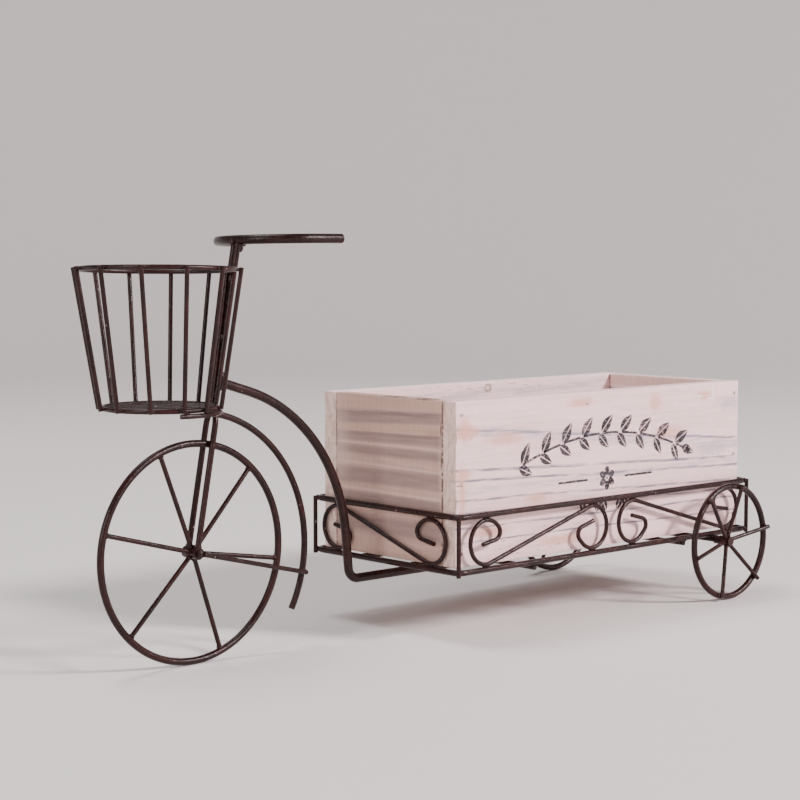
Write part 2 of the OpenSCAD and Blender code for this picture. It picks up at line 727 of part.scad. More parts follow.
box_end(-1);  // box_end_front
box_end(1);  // box_end_rear
box_bottom();
box_nails();
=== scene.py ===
import json
import math
import random
from itertools import product

import bmesh
import bpy
from mathutils import Matrix, Vector, noise


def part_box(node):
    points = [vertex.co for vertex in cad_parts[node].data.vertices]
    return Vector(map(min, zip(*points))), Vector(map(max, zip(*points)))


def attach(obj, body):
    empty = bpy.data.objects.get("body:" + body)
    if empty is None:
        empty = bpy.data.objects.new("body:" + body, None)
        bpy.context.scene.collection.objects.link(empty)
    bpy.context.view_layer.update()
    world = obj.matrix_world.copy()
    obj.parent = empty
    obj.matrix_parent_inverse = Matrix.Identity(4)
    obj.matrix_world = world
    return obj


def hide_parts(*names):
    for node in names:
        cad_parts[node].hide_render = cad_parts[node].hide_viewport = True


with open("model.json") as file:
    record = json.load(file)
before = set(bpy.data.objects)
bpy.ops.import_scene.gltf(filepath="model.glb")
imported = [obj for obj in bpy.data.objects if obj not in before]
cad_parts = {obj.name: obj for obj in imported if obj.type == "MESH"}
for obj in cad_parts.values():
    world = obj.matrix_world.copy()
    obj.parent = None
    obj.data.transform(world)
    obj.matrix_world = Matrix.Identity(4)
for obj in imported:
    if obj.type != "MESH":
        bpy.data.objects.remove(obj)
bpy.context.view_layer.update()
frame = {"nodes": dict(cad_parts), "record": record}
nodes = frame["nodes"]
print("frame loaded:", len(nodes), "CAD nodes")

mm = 0.001
bothSigns = (-1, 1)


def turns(count):
    return [math.tau * i / count for i in range(count)]


def addObject(name, data):
    item = bpy.data.objects.new(name, data)
    bpy.context.scene.collection.objects.link(item)
    return item


# Camera at the photograph's angle

cameraView = {"place": (-0.883885, -0.93869, 0.25502), "yaw": 47.4477, "down": 4.5479,
              "lens": 85.996, "sensor": 36, "nearest": 0.02}


def placeCamera(view):
    data = bpy.data.cameras.new("studioCamera")
    data.lens = view["lens"]
    data.sensor_width = view["sensor"]
    data.clip_start = view["nearest"]
    cam = addObject("studioCamera", data)
    cam.location = view["place"]
    cam.rotation_euler = (math.radians(90 - view["down"]), 0, math.radians(view["yaw"] - 90))
    bpy.context.scene.camera = cam


placeCamera(cameraView)
print("camera placed")


# Helpers for shaders

def newGroup(name, inputs, outputs):
    # A number makes a float input; three numbers, or None where a place is linked, a vector
    group = bpy.data.node_groups.new(name, "ShaderNodeTree")
    for label, value in inputs.items():
        kind = "NodeSocketFloat" if isinstance(value, float) else "NodeSocketVector"
        socket = group.interface.new_socket(name=label, in_out="INPUT", socket_type=kind)
        if value is not None:
            socket.default_value = value
    for label in outputs:
        group.interface.new_socket(name=label, in_out="OUTPUT", socket_type="NodeSocketFloat")
    ins = group.nodes.new("NodeGroupInput").outputs
    outs = group.nodes.new("NodeGroupOutput").inputs
    return group, ins, outs


def put(tree, kind, inputs=(), **settings):
    # Adds a node; inputs holds socket: value or socket: output to link
    node = tree.nodes.new("ShaderNode" + kind)
    for key, value in settings.items():
        setattr(node, key, value)
    for key, value in dict(inputs).items():
        if isinstance(value, bpy.types.NodeSocket):
            tree.links.new(value, node.inputs[key])
        else:
            node.inputs[key].default_value = value
    return node


def calc(tree, operation, *values, clamp=False):
    return put(tree, "Math", enumerate(values), operation=operation, use_clamp=clamp).outputs[0]


def vecCalc(tree, operation, a, b):
    return put(tree, "VectorMath", {0: a, 1: b}, operation=operation).outputs[0]


def fade(tree, value, low, high, toLow=0.0, toHigh=1.0):
    inputs = {"Value": value, "From Min": low, "From Max": high, "To Min": toLow, "To Max": toHigh}
    return put(tree, "MapRange", inputs, interpolation_type="SMOOTHSTEP").outputs["Result"]


def blendColour(tree, factor, a, b):
    return put(tree, "Mix", {0: factor, 6: a, 7: b}, data_type="RGBA").outputs[2]


def stain(tree, base, mask, power, tint):
    return blendColour(tree, calc(tree, "MULTIPLY", mask, power), base, tint)


def rgb(r, g, b):
    return (r, g, b, 1.0)


def grainNoise(tree, vector, scale, detail=2.0, rough=0.5, warp=0.0):
    inputs = {"Vector": vector, "Scale": scale, "Detail": detail, "Roughness": rough, "Distortion": warp}
    return put(tree, "TexNoise", inputs).outputs["Fac"]


def streakNoise(tree, vector, stretch, detail, rough=0.6, warp=0.0):
    # Drawn out along the axes where stretch is small
    return grainNoise(tree, vecCalc(tree, "MULTIPLY", vector, stretch), 1.0, detail, rough, warp)


def newMaterial(name, **constants):
    mat = bpy.data.materials.new(name)
    mat.use_nodes = True
    shader = mat.node_tree.nodes["Principled BSDF"]
    for key, value in constants.items():
        shader.inputs[key.replace("_", " ")].default_value = value
    where = put(mat.node_tree, "TexCoord").outputs["Object"]
    return mat, mat.node_tree, shader, where


def useGroup(tree, group, inputs):
    return put(tree, "Group", inputs, node_tree=group).outputs


def finishShader(tree, shader, colour, roughness, height, bumpDepth):
    tree.links.new(colour, shader.inputs["Base Color"])
    tree.links.new(roughness, shader.inputs["Roughness"])
    bump = put(tree, "Bump", {"Height": height, "Strength": 1.0, "Distance": bumpDepth})
    tree.links.new(bump.outputs["Normal"], shader.inputs["Normal"])


# Shared effects as node groups

def makePaintSkin():
    # Brushed-on enamel over rough wire: fine orange peel and slower waves
    cloudScale = 42.0
    group, ins, outs = newGroup(
        "paintSkin", {"Vector": None, "Peel Scale": 1500.0, "Wave Scale": 260.0, "Wave Share": 0.5},
        ("Height", "Cloud"))
    peel = grainNoise(group, ins["Vector"], ins["Peel Scale"], 2.0, 0.6)
    wave = grainNoise(group, ins["Vector"], ins["Wave Scale"], 2.0, 0.5)
    share = calc(group, "MULTIPLY", wave, ins["Wave Share"])
    group.links.new(calc(group, "ADD", peel, share), outs["Height"])
    cloud = grainNoise(group, ins["Vector"], cloudScale, 3.0, 0.6)
    group.links.new(cloud, outs["Cloud"])
    return group


def makePaleSpecks():
    # Scattered small marks: chips with painted glints, dust or splashes
    patchShare, dotShare = 0.35, 0.8
    group, ins, outs = newGroup(
        "paleSpecks", {"Vector": None, "Scale": 900.0, "Cover": 0.3, "Soft": 0.03, "Patch Scale": 60.0},
        ("Mask",))
    dots = grainNoise(group, ins["Vector"], ins["Scale"], 1.0, 0.5)
    patches = grainNoise(group, ins["Vector"], ins["Patch Scale"], 2.0, 0.5)
    level = calc(group, "SUBTRACT", 1.0, ins["Cover"])
    lifted = calc(group, "MULTIPLY_ADD", patches, patchShare, calc(group, "MULTIPLY", dots, dotShare))
    mask = fade(group, lifted, level, calc(group, "ADD", level, ins["Soft"]))
    group.links.new(mask, outs["Mask"])
    return group


def makeWoodGrain():
    # Stretched grain; Stretch holds the scale along each axis
    toneScale, lineScale, fibreScale, poreScale = 0.35, 1.6, 9.0, 22.0
    lineFrom, lineTo = 0.36, 0.62
    group, ins, outs = newGroup(
        "woodGrain", {"Vector": None, "Stretch": (8.0, 90.0, 90.0), "Seed": (0.0, 0.0, 0.0), "Wander": 0.8},
        ("Lines", "Fibres", "Tone", "Pores"))
    moved = vecCalc(group, "ADD", ins["Vector"], ins["Seed"])
    along = vecCalc(group, "MULTIPLY", moved, ins["Stretch"])
    lines = grainNoise(group, along, lineScale, 4.0, 0.62, ins["Wander"])
    group.links.new(fade(group, lines, lineFrom, lineTo), outs["Lines"])
    group.links.new(grainNoise(group, along, fibreScale, 3.0, 0.7), outs["Fibres"])
    group.links.new(grainNoise(group, along, toneScale, 3.0, 0.5, ins["Wander"]), outs["Tone"])
    group.links.new(grainNoise(group, along, poreScale, 2.0, 0.6), outs["Pores"])
    return group


def makeGrainVein():
    # One dark line of the grain across a long board, from the height Start with the given Slope
    swayStretch, gapStretch, seedSpread = (9.0, 9.0, 2.0), (45.0, 200.0, 500.0), 97.0
    gapFrom, gapTo = 0.3, 0.6
    group, ins, outs = newGroup(
        "grainVein", {"Vector": None, "Start": 0.1, "Slope": -0.05, "Width": 0.0006, "Blur": 0.0006,
                      "Sway": 0.003, "Breakup": 1.0},
        ("Mask",))
    parts = put(group, "SeparateXYZ", {0: ins["Vector"]}).outputs
    shift = vecCalc(group, "MULTIPLY", ins["Vector"], swayStretch)
    seed = put(group, "CombineXYZ", {"Y": calc(group, "MULTIPLY", ins["Start"], seedSpread)}).outputs[0]
    sway = grainNoise(group, vecCalc(group, "ADD", shift, seed), 1.0, 3.0, 0.55)
    bend = calc(group, "MULTIPLY", calc(group, "SUBTRACT", sway, 0.5), ins["Sway"])
    line = calc(group, "MULTIPLY_ADD", parts["X"], ins["Slope"], ins["Start"])
    away = calc(group, "ABSOLUTE", calc(group, "SUBTRACT", parts["Z"], calc(group, "ADD", line, bend)))
    edge = calc(group, "ADD", ins["Width"], ins["Blur"])
    core = fade(group, away, ins["Width"], edge, 1.0, 0.0)
    broken = streakNoise(group, ins["Vector"], gapStretch, 3.0)
    gaps = calc(group, "MULTIPLY", fade(group, broken, gapFrom, gapTo, 1.0, 0.0), ins["Breakup"])
    group.links.new(calc(group, "MULTIPLY", core, calc(group, "SUBTRACT", 1.0, gaps)), outs["Mask"])
    return group


def makeStainPatch():
    # A soft patch round one place, with a ragged edge
    group, ins, outs = newGroup(
        "stainPatch", {"Vector": None, "Middle": (0.0, 0.0, 0.0), "Reach": (0.01, 0.01, 0.01),
                       "Ragged": 0.6, "Fineness": 180.0, "Soft": 0.8},
        ("Mask",))
    away = vecCalc(group, "DIVIDE", vecCalc(group, "SUBTRACT", ins["Vector"], ins["Middle"]), ins["Reach"])
    far = put(group, "VectorMath", {0: away}, operation="LENGTH").outputs["Value"]
    rag = calc(group, "SUBTRACT", grainNoise(group, ins["Vector"], ins["Fineness"], 3.0, 0.6), 0.5)
    edge = calc(group, "MULTIPLY_ADD", rag, ins["Ragged"], far)
    inner = calc(group, "SUBTRACT", 1.0, ins["Soft"])
    group.links.new(fade(group, edge, inner, 1.0, 1.0, 0.0), outs["Mask"])
    return group


paintSkin = makePaintSkin()
paleSpecks = makePaleSpecks()
woodGrain = makeWoodGrain()
grainVein = makeGrainVein()
stainPatch = makeStainPatch()
print("node groups made")


# Materials

def specks(tree, where, settings):
    # The settings are the specks' scale, cover and softness, and the scale of their patches
    scale, cover, soft, patchScale = settings
    return useGroup(tree, paleSpecks, {"Vector": where, "Scale": scale, "Cover": cover, "Soft": soft,
                                       "Patch Scale": patchScale})["Mask"]


def paintLayer(tree, where, look):
    return useGroup(tree, paintSkin, {"Vector": where, "Peel Scale": look["peel"],
                                      "Wave Scale": look["wave"], "Wave Share": look["waveShare"]})


def makeIron(name, look):
    mat, tree, shader, where = newMaterial(name, Metallic=0.0, Specular_IOR_Level=look["gloss"])
    skin = paintLayer(tree, where, look)
    base = blendColour(tree, fade(tree, skin["Cloud"], *look["cloudRange"]), look["dark"], look["warm"])
    dust = specks(tree, where, look["dustSpecks"])
    base = stain(tree, base, dust, look["dustPower"], look["dust"])
    # Pale specks: paint chips, and painted glints that stand in for the speckled highlights on the paint
    chipsAndGlints = specks(tree, where, look["chipAndGlintSpecks"])
    base = blendColour(tree, chipsAndGlints, base, look["chipAndGlint"])
    rough = fade(tree, skin["Height"], *look["heightRange"], look["shiny"], look["dull"])
    rough = calc(tree, "MULTIPLY_ADD", chipsAndGlints, look["chipAndGlintDull"], rough)
    finishShader(tree, shader, base, rough, skin["Height"], look["depth"])
    return mat


ironLook = {
    "dark": rgb(0.0095, 0.0018, 0.0015), "warm": rgb(0.022, 0.0048, 0.0042), "cloudRange": (0.35, 0.65),
    "gloss": 0.24, "peel": 1700.0, "wave": 330.0, "waveShare": 0.5, "depth": 0.00017,
    "shiny": 0.12, "dull": 0.32, "heightRange": (0.35, 1.1),
    "dust": rgb(0.15, 0.095, 0.09), "dustSpecks": (1300.0, 0.34, 0.1, 150.0), "dustPower": 0.13,
    # The chip colour and specks paint chips and also painted glints
    "chipAndGlint": rgb(0.34, 0.25, 0.235), "chipAndGlintSpecks": (520.0, 0.185, 0.012, 34.0), "chipAndGlintDull": 0.3}
weldLook = dict(ironLook, peel=1100.0, waveShare=1.1, shiny=0.1, depth=0.0003,
                # Denser pale specks on the welds: chips and painted glints on the beads
                dustSpecks=(1300.0, 0.38, 0.1, 150.0), chipAndGlintSpecks=(520.0, 0.21, 0.012, 34.0))

ironPaint = makeIron("ironPaint", ironLook)
weldPaint = makeIron("weldPaint", weldLook)


def addMarks(tree, colour, spot, look):
    for sort, marks in look["marks"].items():
        power, tint = look[sort]
        for mark in marks:
            group = grainVein if "Start" in mark else stainPatch
            mask = useGroup(tree, group, dict(mark, Vector=spot))["Mask"]
            colour = stain(tree, colour, mask, power, tint)
    return colour


def addSeam(tree, colour, where, width, look):
    # The dark joint between an end board and the side boards, ragged and broken
    ragged = streakNoise(tree, where, look["seamStretch"], 2.0)
    aside = calc(tree, "MULTIPLY_ADD", ragged, look["seamRagged"], calc(tree, "ABSOLUTE", width))
    broken = streakNoise(tree, where, look["seamBreaks"], 3.0, 0.7)
    line = calc(tree, "MULTIPLY", fade(tree, aside, look["seam"], look["seam"] + look["seamBlur"]),
                fade(tree, broken, *look["seamKeep"]))
    return stain(tree, colour, line, look["seamPower"], look["seamColour"])


def makeWood(name, look):
    mat, tree, shader, where = newMaterial(name, Specular_IOR_Level=look["gloss"])
    parts = put(tree, "SeparateXYZ", {0: where}).outputs
    # Marks are placed along the grain, so an end board swaps X and Y
    spot = where
    if look["along"] == "Y":
        spot = put(tree, "CombineXYZ", {"X": parts["Y"], "Y": parts["X"], "Z": parts["Z"]}).outputs[0]
    grain = useGroup(tree, woodGrain, {"Vector": where, "Stretch": look["stretch"], "Seed": look["seed"],
                                       "Wander": look["wander"]})
    bare = blendColour(tree, grain["Lines"], look["lateWood"], look["earlyWood"])
    bare = blendColour(tree, fade(tree, grain["Tone"], *look["grainRange"]), bare, look["toneWood"])
    # The wash lies thick on soft wood and thin on the hard lines
    thick = calc(tree, "MULTIPLY_ADD", grain["Lines"], look["lineBite"], look["wash"])
    thin = calc(tree, "MULTIPLY", calc(tree, "SUBTRACT", grain["Fibres"], 0.5), look["fibreBite"])
    cover = calc(tree, "ADD", thick, thin, clamp=True)
    colour = blendColour(tree, cover, bare, look["washColour"])
    colour = addMarks(tree, colour, spot, look)
    saw = streakNoise(tree, where, look["sawStretch"], 2.0)
    colour = blendColour(tree, fade(tree, saw, *look["sawRange"], 0.0, look["sawTint"]), colour,
                         look["lateWood"])
    # End grain shows where a face looks along the board
    normal = put(tree, "SeparateXYZ", {0: put(tree, "TexCoord").outputs["Normal"]}).outputs
    cut = fade(tree, calc(tree, "ABSOLUTE", normal[look["along"]]), *look["cutRange"])
    rings = streakNoise(tree, where, look["cutStretch"], 3.0, warp=0.6)
    cutColour = blendColour(tree, fade(tree, rings, *look["cutTone"]), look["cutPale"], look["cutDark"])
    colour = stain(tree, colour, cut, look["cutPower"], cutColour)
    if look["seam"]:
        colour = addSeam(tree, colour, where, parts["Y"], look)
    tick = specks(tree, vecCalc(tree, "MULTIPLY", where, look["tickStretch"]), look["tickSpecks"])
    colour = stain(tree, colour, tick, look["tickPower"], look["tick"])
    rough = fade(tree, grain["Fibres"], *look["grainRange"], look["rough"] - look["roughSpread"],
                 look["rough"] + look["roughSpread"])
    height = calc(tree, "ADD", grain["Fibres"], grain["Pores"])
    height = calc(tree, "MULTIPLY_ADD", saw, look["sawShare"], height)
    height = calc(tree, "MULTIPLY_ADD", tick, -look["tickDepth"], height)
    finishShader(tree, shader, colour, rough, height, look["depth"])
    return mat


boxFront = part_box("box_side_left")[0][0]
markLength, endSpan = 282.0, 100.0


def vein(start, end, width=0.35, blur=0.9, sway=3.0):
    # Heights in mm at the front of the box and markLength behind it
    slope = (end - start) / markLength
    first = start + slope * -(boxFront / mm)
    return {"Start": first * mm, "Slope": slope, "Width": width * mm, "Blur": blur * mm, "Sway": sway * mm}


def patch(x, z, rx, rz, y=-65.0, ry=6.0, **more):
    # x in mm behind the front of the box
    return dict({"Middle": (boxFront + x * mm, y * mm, z * mm), "Reach": (rx * mm, ry * mm, rz * mm)}, **more)


def farPatch(x, z, rx, rz, **more):
    # The same on the right board, through its whole thickness
    return patch(x, z, rx, rz, 58.0, 14.0, **more)


washLook = {
    "along": "X", "stretch": (7.0, 60.0, 130.0), "seed": (0.0, 0.0, 0.0), "wander": 0.5, "gloss": 0.25,
    "lateWood": rgb(0.44, 0.28, 0.24), "earlyWood": rgb(0.76, 0.51, 0.43),
    "toneWood": rgb(0.64, 0.43, 0.37), "grainRange": (0.3, 0.7),
    "wash": 0.72, "lineBite": 0.2, "fibreBite": 0.35, "washColour": rgb(0.975, 0.69, 0.705),
    "veins": (0.95, rgb(0.21, 0.19, 0.24)), "shades": (0.46, rgb(0.33, 0.32, 0.4)),
    "tans": (0.75, rgb(0.73, 0.37, 0.29)), "drips": (0.9, rgb(0.95, 0.88, 0.87)),
    "knotsAndShade": (0.85, rgb(0.27, 0.16, 0.13)),
    "sawStretch": (900.0, 200.0, 60.0), "sawRange": (0.35, 0.75), "sawTint": 0.06, "sawShare": 0.5,
    "cutPale": rgb(0.88, 0.66, 0.58), "cutDark": rgb(0.6, 0.4, 0.32), "cutRange": (0.55, 0.9),
    "cutStretch": (300.0, 300.0, 120.0), "cutTone": (0.35, 0.7), "cutPower": 0.85,
    "seam": 0, "seamColour": rgb(0.13, 0.06, 0.038), "seamStretch": (300.0, 700.0, 600.0),
    "seamRagged": 1.8 * mm, "seamBlur": 0.6 * mm, "seamBreaks": (200.0, 200.0, 260.0),
    "seamKeep": (0.41, 0.52), "seamPower": 0.85,
    "tick": rgb(0.42, 0.33, 0.32), "tickStretch": (0.25, 1.0, 1.0), "tickSpecks": (600.0, 0.25, 0.03, 25.0),
    "tickPower": 0.6, "tickDepth": 0.8, "rough": 0.62, "roughSpread": 0.08, "depth": 0.0003, "marks": {}}

leftMarks = {
    "veins": [vein(138.4, 115.4, 0.45), vein(111.8, 101.0, 0.55), vein(105.0, 95.2, 0.4), vein(92.9, 84.0),
              vein(74.0, 71.0, 0.3), vein(84.0, 77.5, 0.2, 0.7), vein(65.0, 61.0, 0.2, 0.8)],
    "shades": [vein(138.0, 111.0, 1.5, 4.0, 4.0), vein(98.0, 98.0, 0.6, 3.0, 5.0),
               patch(262, 108, 34, 7, Ragged=1.2), patch(282, 141, 20, 7, Ragged=1.0),
               patch(46, 133.5, 36, 2.2, Ragged=1.0)],
    "tans": [patch(198, 145.5, 11, 9), patch(76, 88, 17, 5), patch(46, 130, 26, 6), patch(8, 138, 9, 13),
             patch(214, 124, 22, 6), patch(120, 150, 22, 5), patch(30, 70, 26, 5), patch(6, 96, 5, 26),
             patch(100, 58, 40, 5), patch(252, 148, 12, 5),
             patch(10, 136, 13, 4.5, Ragged=2.6, Fineness=650.0, Soft=0.3),
             patch(6, 109, 9, 4, Ragged=2.6, Fineness=650.0, Soft=0.3)],
    "drips": [patch(262.9, 151, 0.9, 8, Ragged=0.7, Soft=0.35), patch(260, 145.5, 4.5, 0.9, Soft=0.4),
              patch(248, 147.5, 5.0, 1.0, Soft=0.4), patch(246, 145, 0.8, 2.8, Soft=0.4),
              patch(18, 150, 0.8, 6.0), patch(84, 147.5, 0.6, 3.0), patch(220, 143.0, 0.6, 5.0),
              patch(239, 139, 0.6, 4.0), patch(63, 149, 0.5, 4.5)],
    "knotsAndShade": [patch(125.5, 148.6, 1.6, 0.9, Soft=0.3), patch(0.6, 112.2, 2.6, 0.7),
              patch(2.4, 102.2, 2.6, 0.9), patch(0.4, 134.0, 0.9, 5.0, Ragged=1.4),
              patch(0.4, 92.0, 0.8, 7.0, Ragged=1.6)]}
rightMarks = {
    "veins": [vein(140.0, 131.0), vein(121.0, 116.0), vein(103.0, 107.0), vein(90.0, 84.0), vein(68.0, 73.0)],
    "shades": [vein(147.0, 150.0, 1.0, 4.0, 4.0), vein(112.0, 98.0, 1.0, 4.0, 5.0)],
    "tans": [farPatch(60, 142, 26, 8), farPatch(225, 120, 22, 7), farPatch(130, 88, 30, 6)],
    "knotsAndShade": [farPatch(147.9, 152.1, 5.0, 4.3, Soft=0.35), farPatch(88, 97, 4.4, 3.6, Soft=0.35)],
    # The pale middle of a knot lies over its dark ring
    "drips": [farPatch(200, 150, 0.8, 6.0), farPatch(147.6, 152.3, 3.6, 3.0, Ragged=0.9, Soft=0.9),
              farPatch(88.3, 97.2, 3.0, 2.5, Ragged=0.9, Soft=0.9)]}

leftWood = makeWood("leftBoardWood", dict(washLook, marks=leftMarks))
rightWood = makeWood("rightBoardWood", dict(washLook, seed=(0.31, 0.12, 0.07), wash=0.88,
                                            washColour=rgb(0.99, 0.745, 0.75), marks=rightMarks))


def endVein(right, left, width=0.5, blur=0.9, sway=1.5, breakup=0.2):
    # Heights in mm at the two ends of an end board, endSpan apart
    return {"Start": (right + left) / 2 * mm, "Slope": (right - left) / endSpan, "Width": width * mm,
            "Blur": blur * mm, "Sway": sway * mm, "Breakup": breakup}


def endPatch(across, z, reach, rz, **more):
    depth = 0.08  # deep enough for the front and the back of the board
    return dict({"Middle": (across * mm, boxFront, z * mm), "Reach": (reach * mm, depth, rz * mm)}, **more)


endMarks = {
    "veins": [endVein(129.7, 131.9, 0.5, 1.5), endVein(144.6, 146.3, 0.6, 2.0, 1.5, 0.7)],
    "shades": [endVein(139.6, 144.9, 2.0, 3.4), endVein(127.0, 128.6, 0.3, 4.0),
               endVein(119.2, 119.8, 1.4, 3.0, 2.0), endVein(101.6, 102.6, 3.6, 3.6, 2.5),
               endVein(86.6, 86.8, 2.6, 2.8, 1.5), endVein(70.0, 69.0, 3.0, 7.0, 4.0)],
    "tans": [endVein(152.0, 153.0, 1.5, 3.0), endVein(134.0, 137.0, 0.6, 3.0)],
    "drips": [endVein(123.4, 124.4, 0.2, 1.0), endVein(110.4, 109.4, 0.35, 1.0),
              endVein(92.8, 92.0, 0.3, 1.0), endPatch(52, 122, 20, 52, Soft=1.0, Ragged=0.3),
              endPatch(-53, 112, 6, 60, Soft=1.0, Ragged=0.3)],
    # The first two marks of this list, along the top edge, are painted shade: the shadow in the gap at the
    # board's top edge
    "knotsAndShade": [endPatch(-6, 157.3, 17, 1.5, Ragged=1.6, Fineness=500.0),
              endPatch(-33, 156.9, 14, 1.2, Ragged=1.8), endPatch(-51, 138, 0.9, 7, Ragged=1.6),
              endPatch(-51.5, 118, 0.9, 9, Ragged=1.6)]}
endLook = dict(
    washLook, along="Y", stretch=(60.0, 7.0, 110.0), seed=(0.5, 0.2, 0.3), wander=0.7, marks=endMarks,
    lateWood=rgb(0.31, 0.19, 0.155), earlyWood=rgb(0.68, 0.43, 0.33), toneWood=rgb(0.56, 0.36, 0.29),
    wash=0.46, lineBite=0.14, fibreBite=0.4, washColour=rgb(0.68, 0.46, 0.4), depth=0.0004,
    veins=(0.62, rgb(0.15, 0.1, 0.105)), shades=(0.66, rgb(0.22, 0.155, 0.155)),
    tans=(0.35, rgb(0.6, 0.37, 0.25)), drips=(0.5, rgb(0.82, 0.6, 0.53)),
    # This dark knot colour also paints the shade in the gap along the end board's top edge
    knotsAndShade=(0.85, rgb(0.11, 0.055, 0.035)), tick=rgb(0.25, 0.17, 0.14), tickSpecks=(600.0, 0.19, 0.03, 25.0),
    sawTint=0.24, sawStretch=(200.0, 1300.0, 40.0), sawShare=1.1, seam=0.0523)
endWood = makeWood("endBoardWood", endLook)
# The rear board is washed paler than the front board: partly painted light, lifting its inner face, which
# lies in shade behind the front board
rearWood = makeWood("rearBoardWood", dict(endLook, seed=(0.2, 0.8, 0.6), wash=0.84,
                                          washColour=rgb(0.98, 0.75, 0.72)))
floorWood = makeWood("floorBoardWood", dict(endLook, along="X", stretch=(7.0, 60.0, 110.0),
                                            seed=(0.9, 0.1, 0.4), marks={}, seam=0))


def makeInk(look):
    mat, tree, shader, where = newMaterial("stencilInk", Specular_IOR_Level=look["gloss"])
    wornAway = specks(tree, vecCalc(tree, "MULTIPLY", where, look["wornStretch"]), look["wornSpecks"])
    tone = grainNoise(tree, where, look["toneScale"], 3.0, 0.6)
    colour = blendColour(tree, fade(tree, tone, *look["toneRange"]), look["dark"], look["pale"])
    rough = fade(tree, tone, 0.3, 0.7, *look["rough"])
    finishShader(tree, shader, colour, rough, tone, look["depth"])
    keep = calc(tree, "SUBTRACT", 1.0, calc(tree, "MULTIPLY", wornAway, look["wornPower"]), clamp=True)
    tree.links.new(keep, shader.inputs["Alpha"])
    return mat


inkLook = {"dark": rgb(0.02, 0.017, 0.022), "pale": rgb(0.085, 0.073, 0.085), "toneScale": 240.0,
           "toneRange": (0.35, 0.7), "gloss": 0.2, "rough": (0.6, 0.8), "depth": 0.0001,
           "wornStretch": (0.45, 1.0, 1.0), "wornSpecks": (900.0, 0.4, 0.12, 90.0), "wornPower": 0.55}
stencilInk = makeInk(inkLook)


def makeNailSteel(look):
    mat, tree, shader, where = newMaterial("nailSteel", Metallic=look["metal"])
    skin = paintLayer(tree, where, look)
    rust = fade(tree, grainNoise(tree, where, look["rustScale"], 3.0, 0.6), *look["rustRange"])
    colour = blendColour(tree, rust, look["steel"], look["rust"])
    rough = fade(tree, rust, 0.0, 1.0, *look["rough"])
    finishShader(tree, shader, colour, rough, skin["Height"], look["depth"])
    return mat


nailLook = {"metal": 0.85, "steel": rgb(0.5, 0.43, 0.41), "rust": rgb(0.17, 0.09, 0.06), "rustScale": 700.0,
            "rustRange": (0.45, 0.62), "rough": (0.35, 0.8), "peel": 2200.0, "wave": 600.0,
            "waveShare": 0.5, "depth": 0.0002}
nailSteel = makeNailSteel(nailLook)
print("materials made")


# CAD wires keep their shape and get the paint

def dress(nodeName, material):
    data = nodes[nodeName].data
    data.materials.clear()
    data.materials.append(material)


slotOf = {part["node"]: part["material_slot"] for part in frame["record"]["subparts"]}
for nodeName, slotName in slotOf.items():
    if slotName == "iron":
        dress(nodeName, ironPaint)
dress("box_nails", nailSteel)
print("wires and nails painted")


def meshFrom(bm, name, smooth=True):
    mesh = bpy.data.meshes.new(name)
    bm.to_mesh(mesh)
    bm.free()
    for polygon in mesh.polygons:
        polygon.use_smooth = smooth
    return mesh


def linkPiece(name, mesh, material, body):
    piece = addObject(name, mesh)
    mesh.materials.append(material)
    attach(piece, body)
    return piece


def corners(nodeName):
    low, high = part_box(nodeName)
    return Vector(low), Vector(high)


def boxMiddle(nodeName):
    low, high = corners(nodeName)
    return (low + high) / 2


# Boards of the planter box

edgeCuts = (0.0, 0.25, 0.6, 1.1, 1.8)  # grid lines near an edge, in edge radii


def boardCuts(low, high, step, edge):
    start, span = low + edgeCuts[-1] * edge, high - low - 2 * edgeCuts[-1] * edge
    count = max(1, round(span / step))
    middle = [start + span * i / count for i in range(1, count)]
    return [low + edge * n for n in edgeCuts] + middle + [high - edge * n for n in reversed(edgeCuts)]


def boardShell(cuts):
    # A closed grid over the six sides of a block
    bm = bmesh.new()
    made = {}

    def corner(key):
        if key not in made:
            made[key] = bm.verts.new([cuts[axis][key[axis]] for axis in range(3)])
        return made[key]

    for axis in range(3):
        u, v = (axis + 1) % 3, (axis + 2) % 3
        lastU, lastV = len(cuts[u]) - 1, len(cuts[v]) - 1
        for side, i, j in product((0, len(cuts[axis]) - 1), range(lastU), range(lastV)):
            loop = []
            for di, dj in ((0, 0), (1, 0), (1, 1), (0, 1)):
                key = [0, 0, 0]
                key[axis], key[u], key[v] = side, i + di, j + dj
                loop.append(corner(tuple(key)))
            bm.faces.new(loop if side else loop[::-1])
    return bm


def wearBoard(bm, low, high, look):
    # Rounds the edges unevenly and presses saw waves and dents into the faces
    seed, along, edge = Vector(look["seed"]), look["along"], look["edge"]

    def wavy(p, scale):
        return 0.5 + 0.5 * noise.noise(p * scale + seed)

    for vert in bm.verts:
        p = vert.co.copy()
        nick = noise.noise(p * look["nickScale"] + seed)
        deep = max(0.0, nick - look["deepFrom"])
        radius = edge * (look["edgeShare"] + look["nickShare"] * nick + look["deepShare"] * deep)
        radius = min(max(radius, look["leastShare"] * edge), edge)
        core = Vector([min(max(p[k], low[k] + radius), high[k] - radius) for k in range(3)])
        out = p - core
        if out.length < 1e-9:
            continue
        out.normalize()
        grain = Vector([p[k] * look["grainAlong" if k == along else "grainAcross"] for k in range(3)])
        dent = noise.noise(p * look["dentScale"] + seed * 2) - look["dentFrom"]
        wander = look["sawWander"] * noise.noise(p * look["wanderScale"] + seed)
        wave, saw = wavy(grain, 1), 0.5 + 0.5 * math.sin(p[along] * look["sawPitch"] + wander)
        if abs(out[along]) > look["endFrom"]:
            wave, saw = wavy(p, look["endWave"]), wavy(p, look["endSaw"])
        press = look["waveDepth"] * wave + look["dentDepth"] * max(0.0, dent) + look["sawDepth"] * saw
        vert.co = core + out * (radius - press)


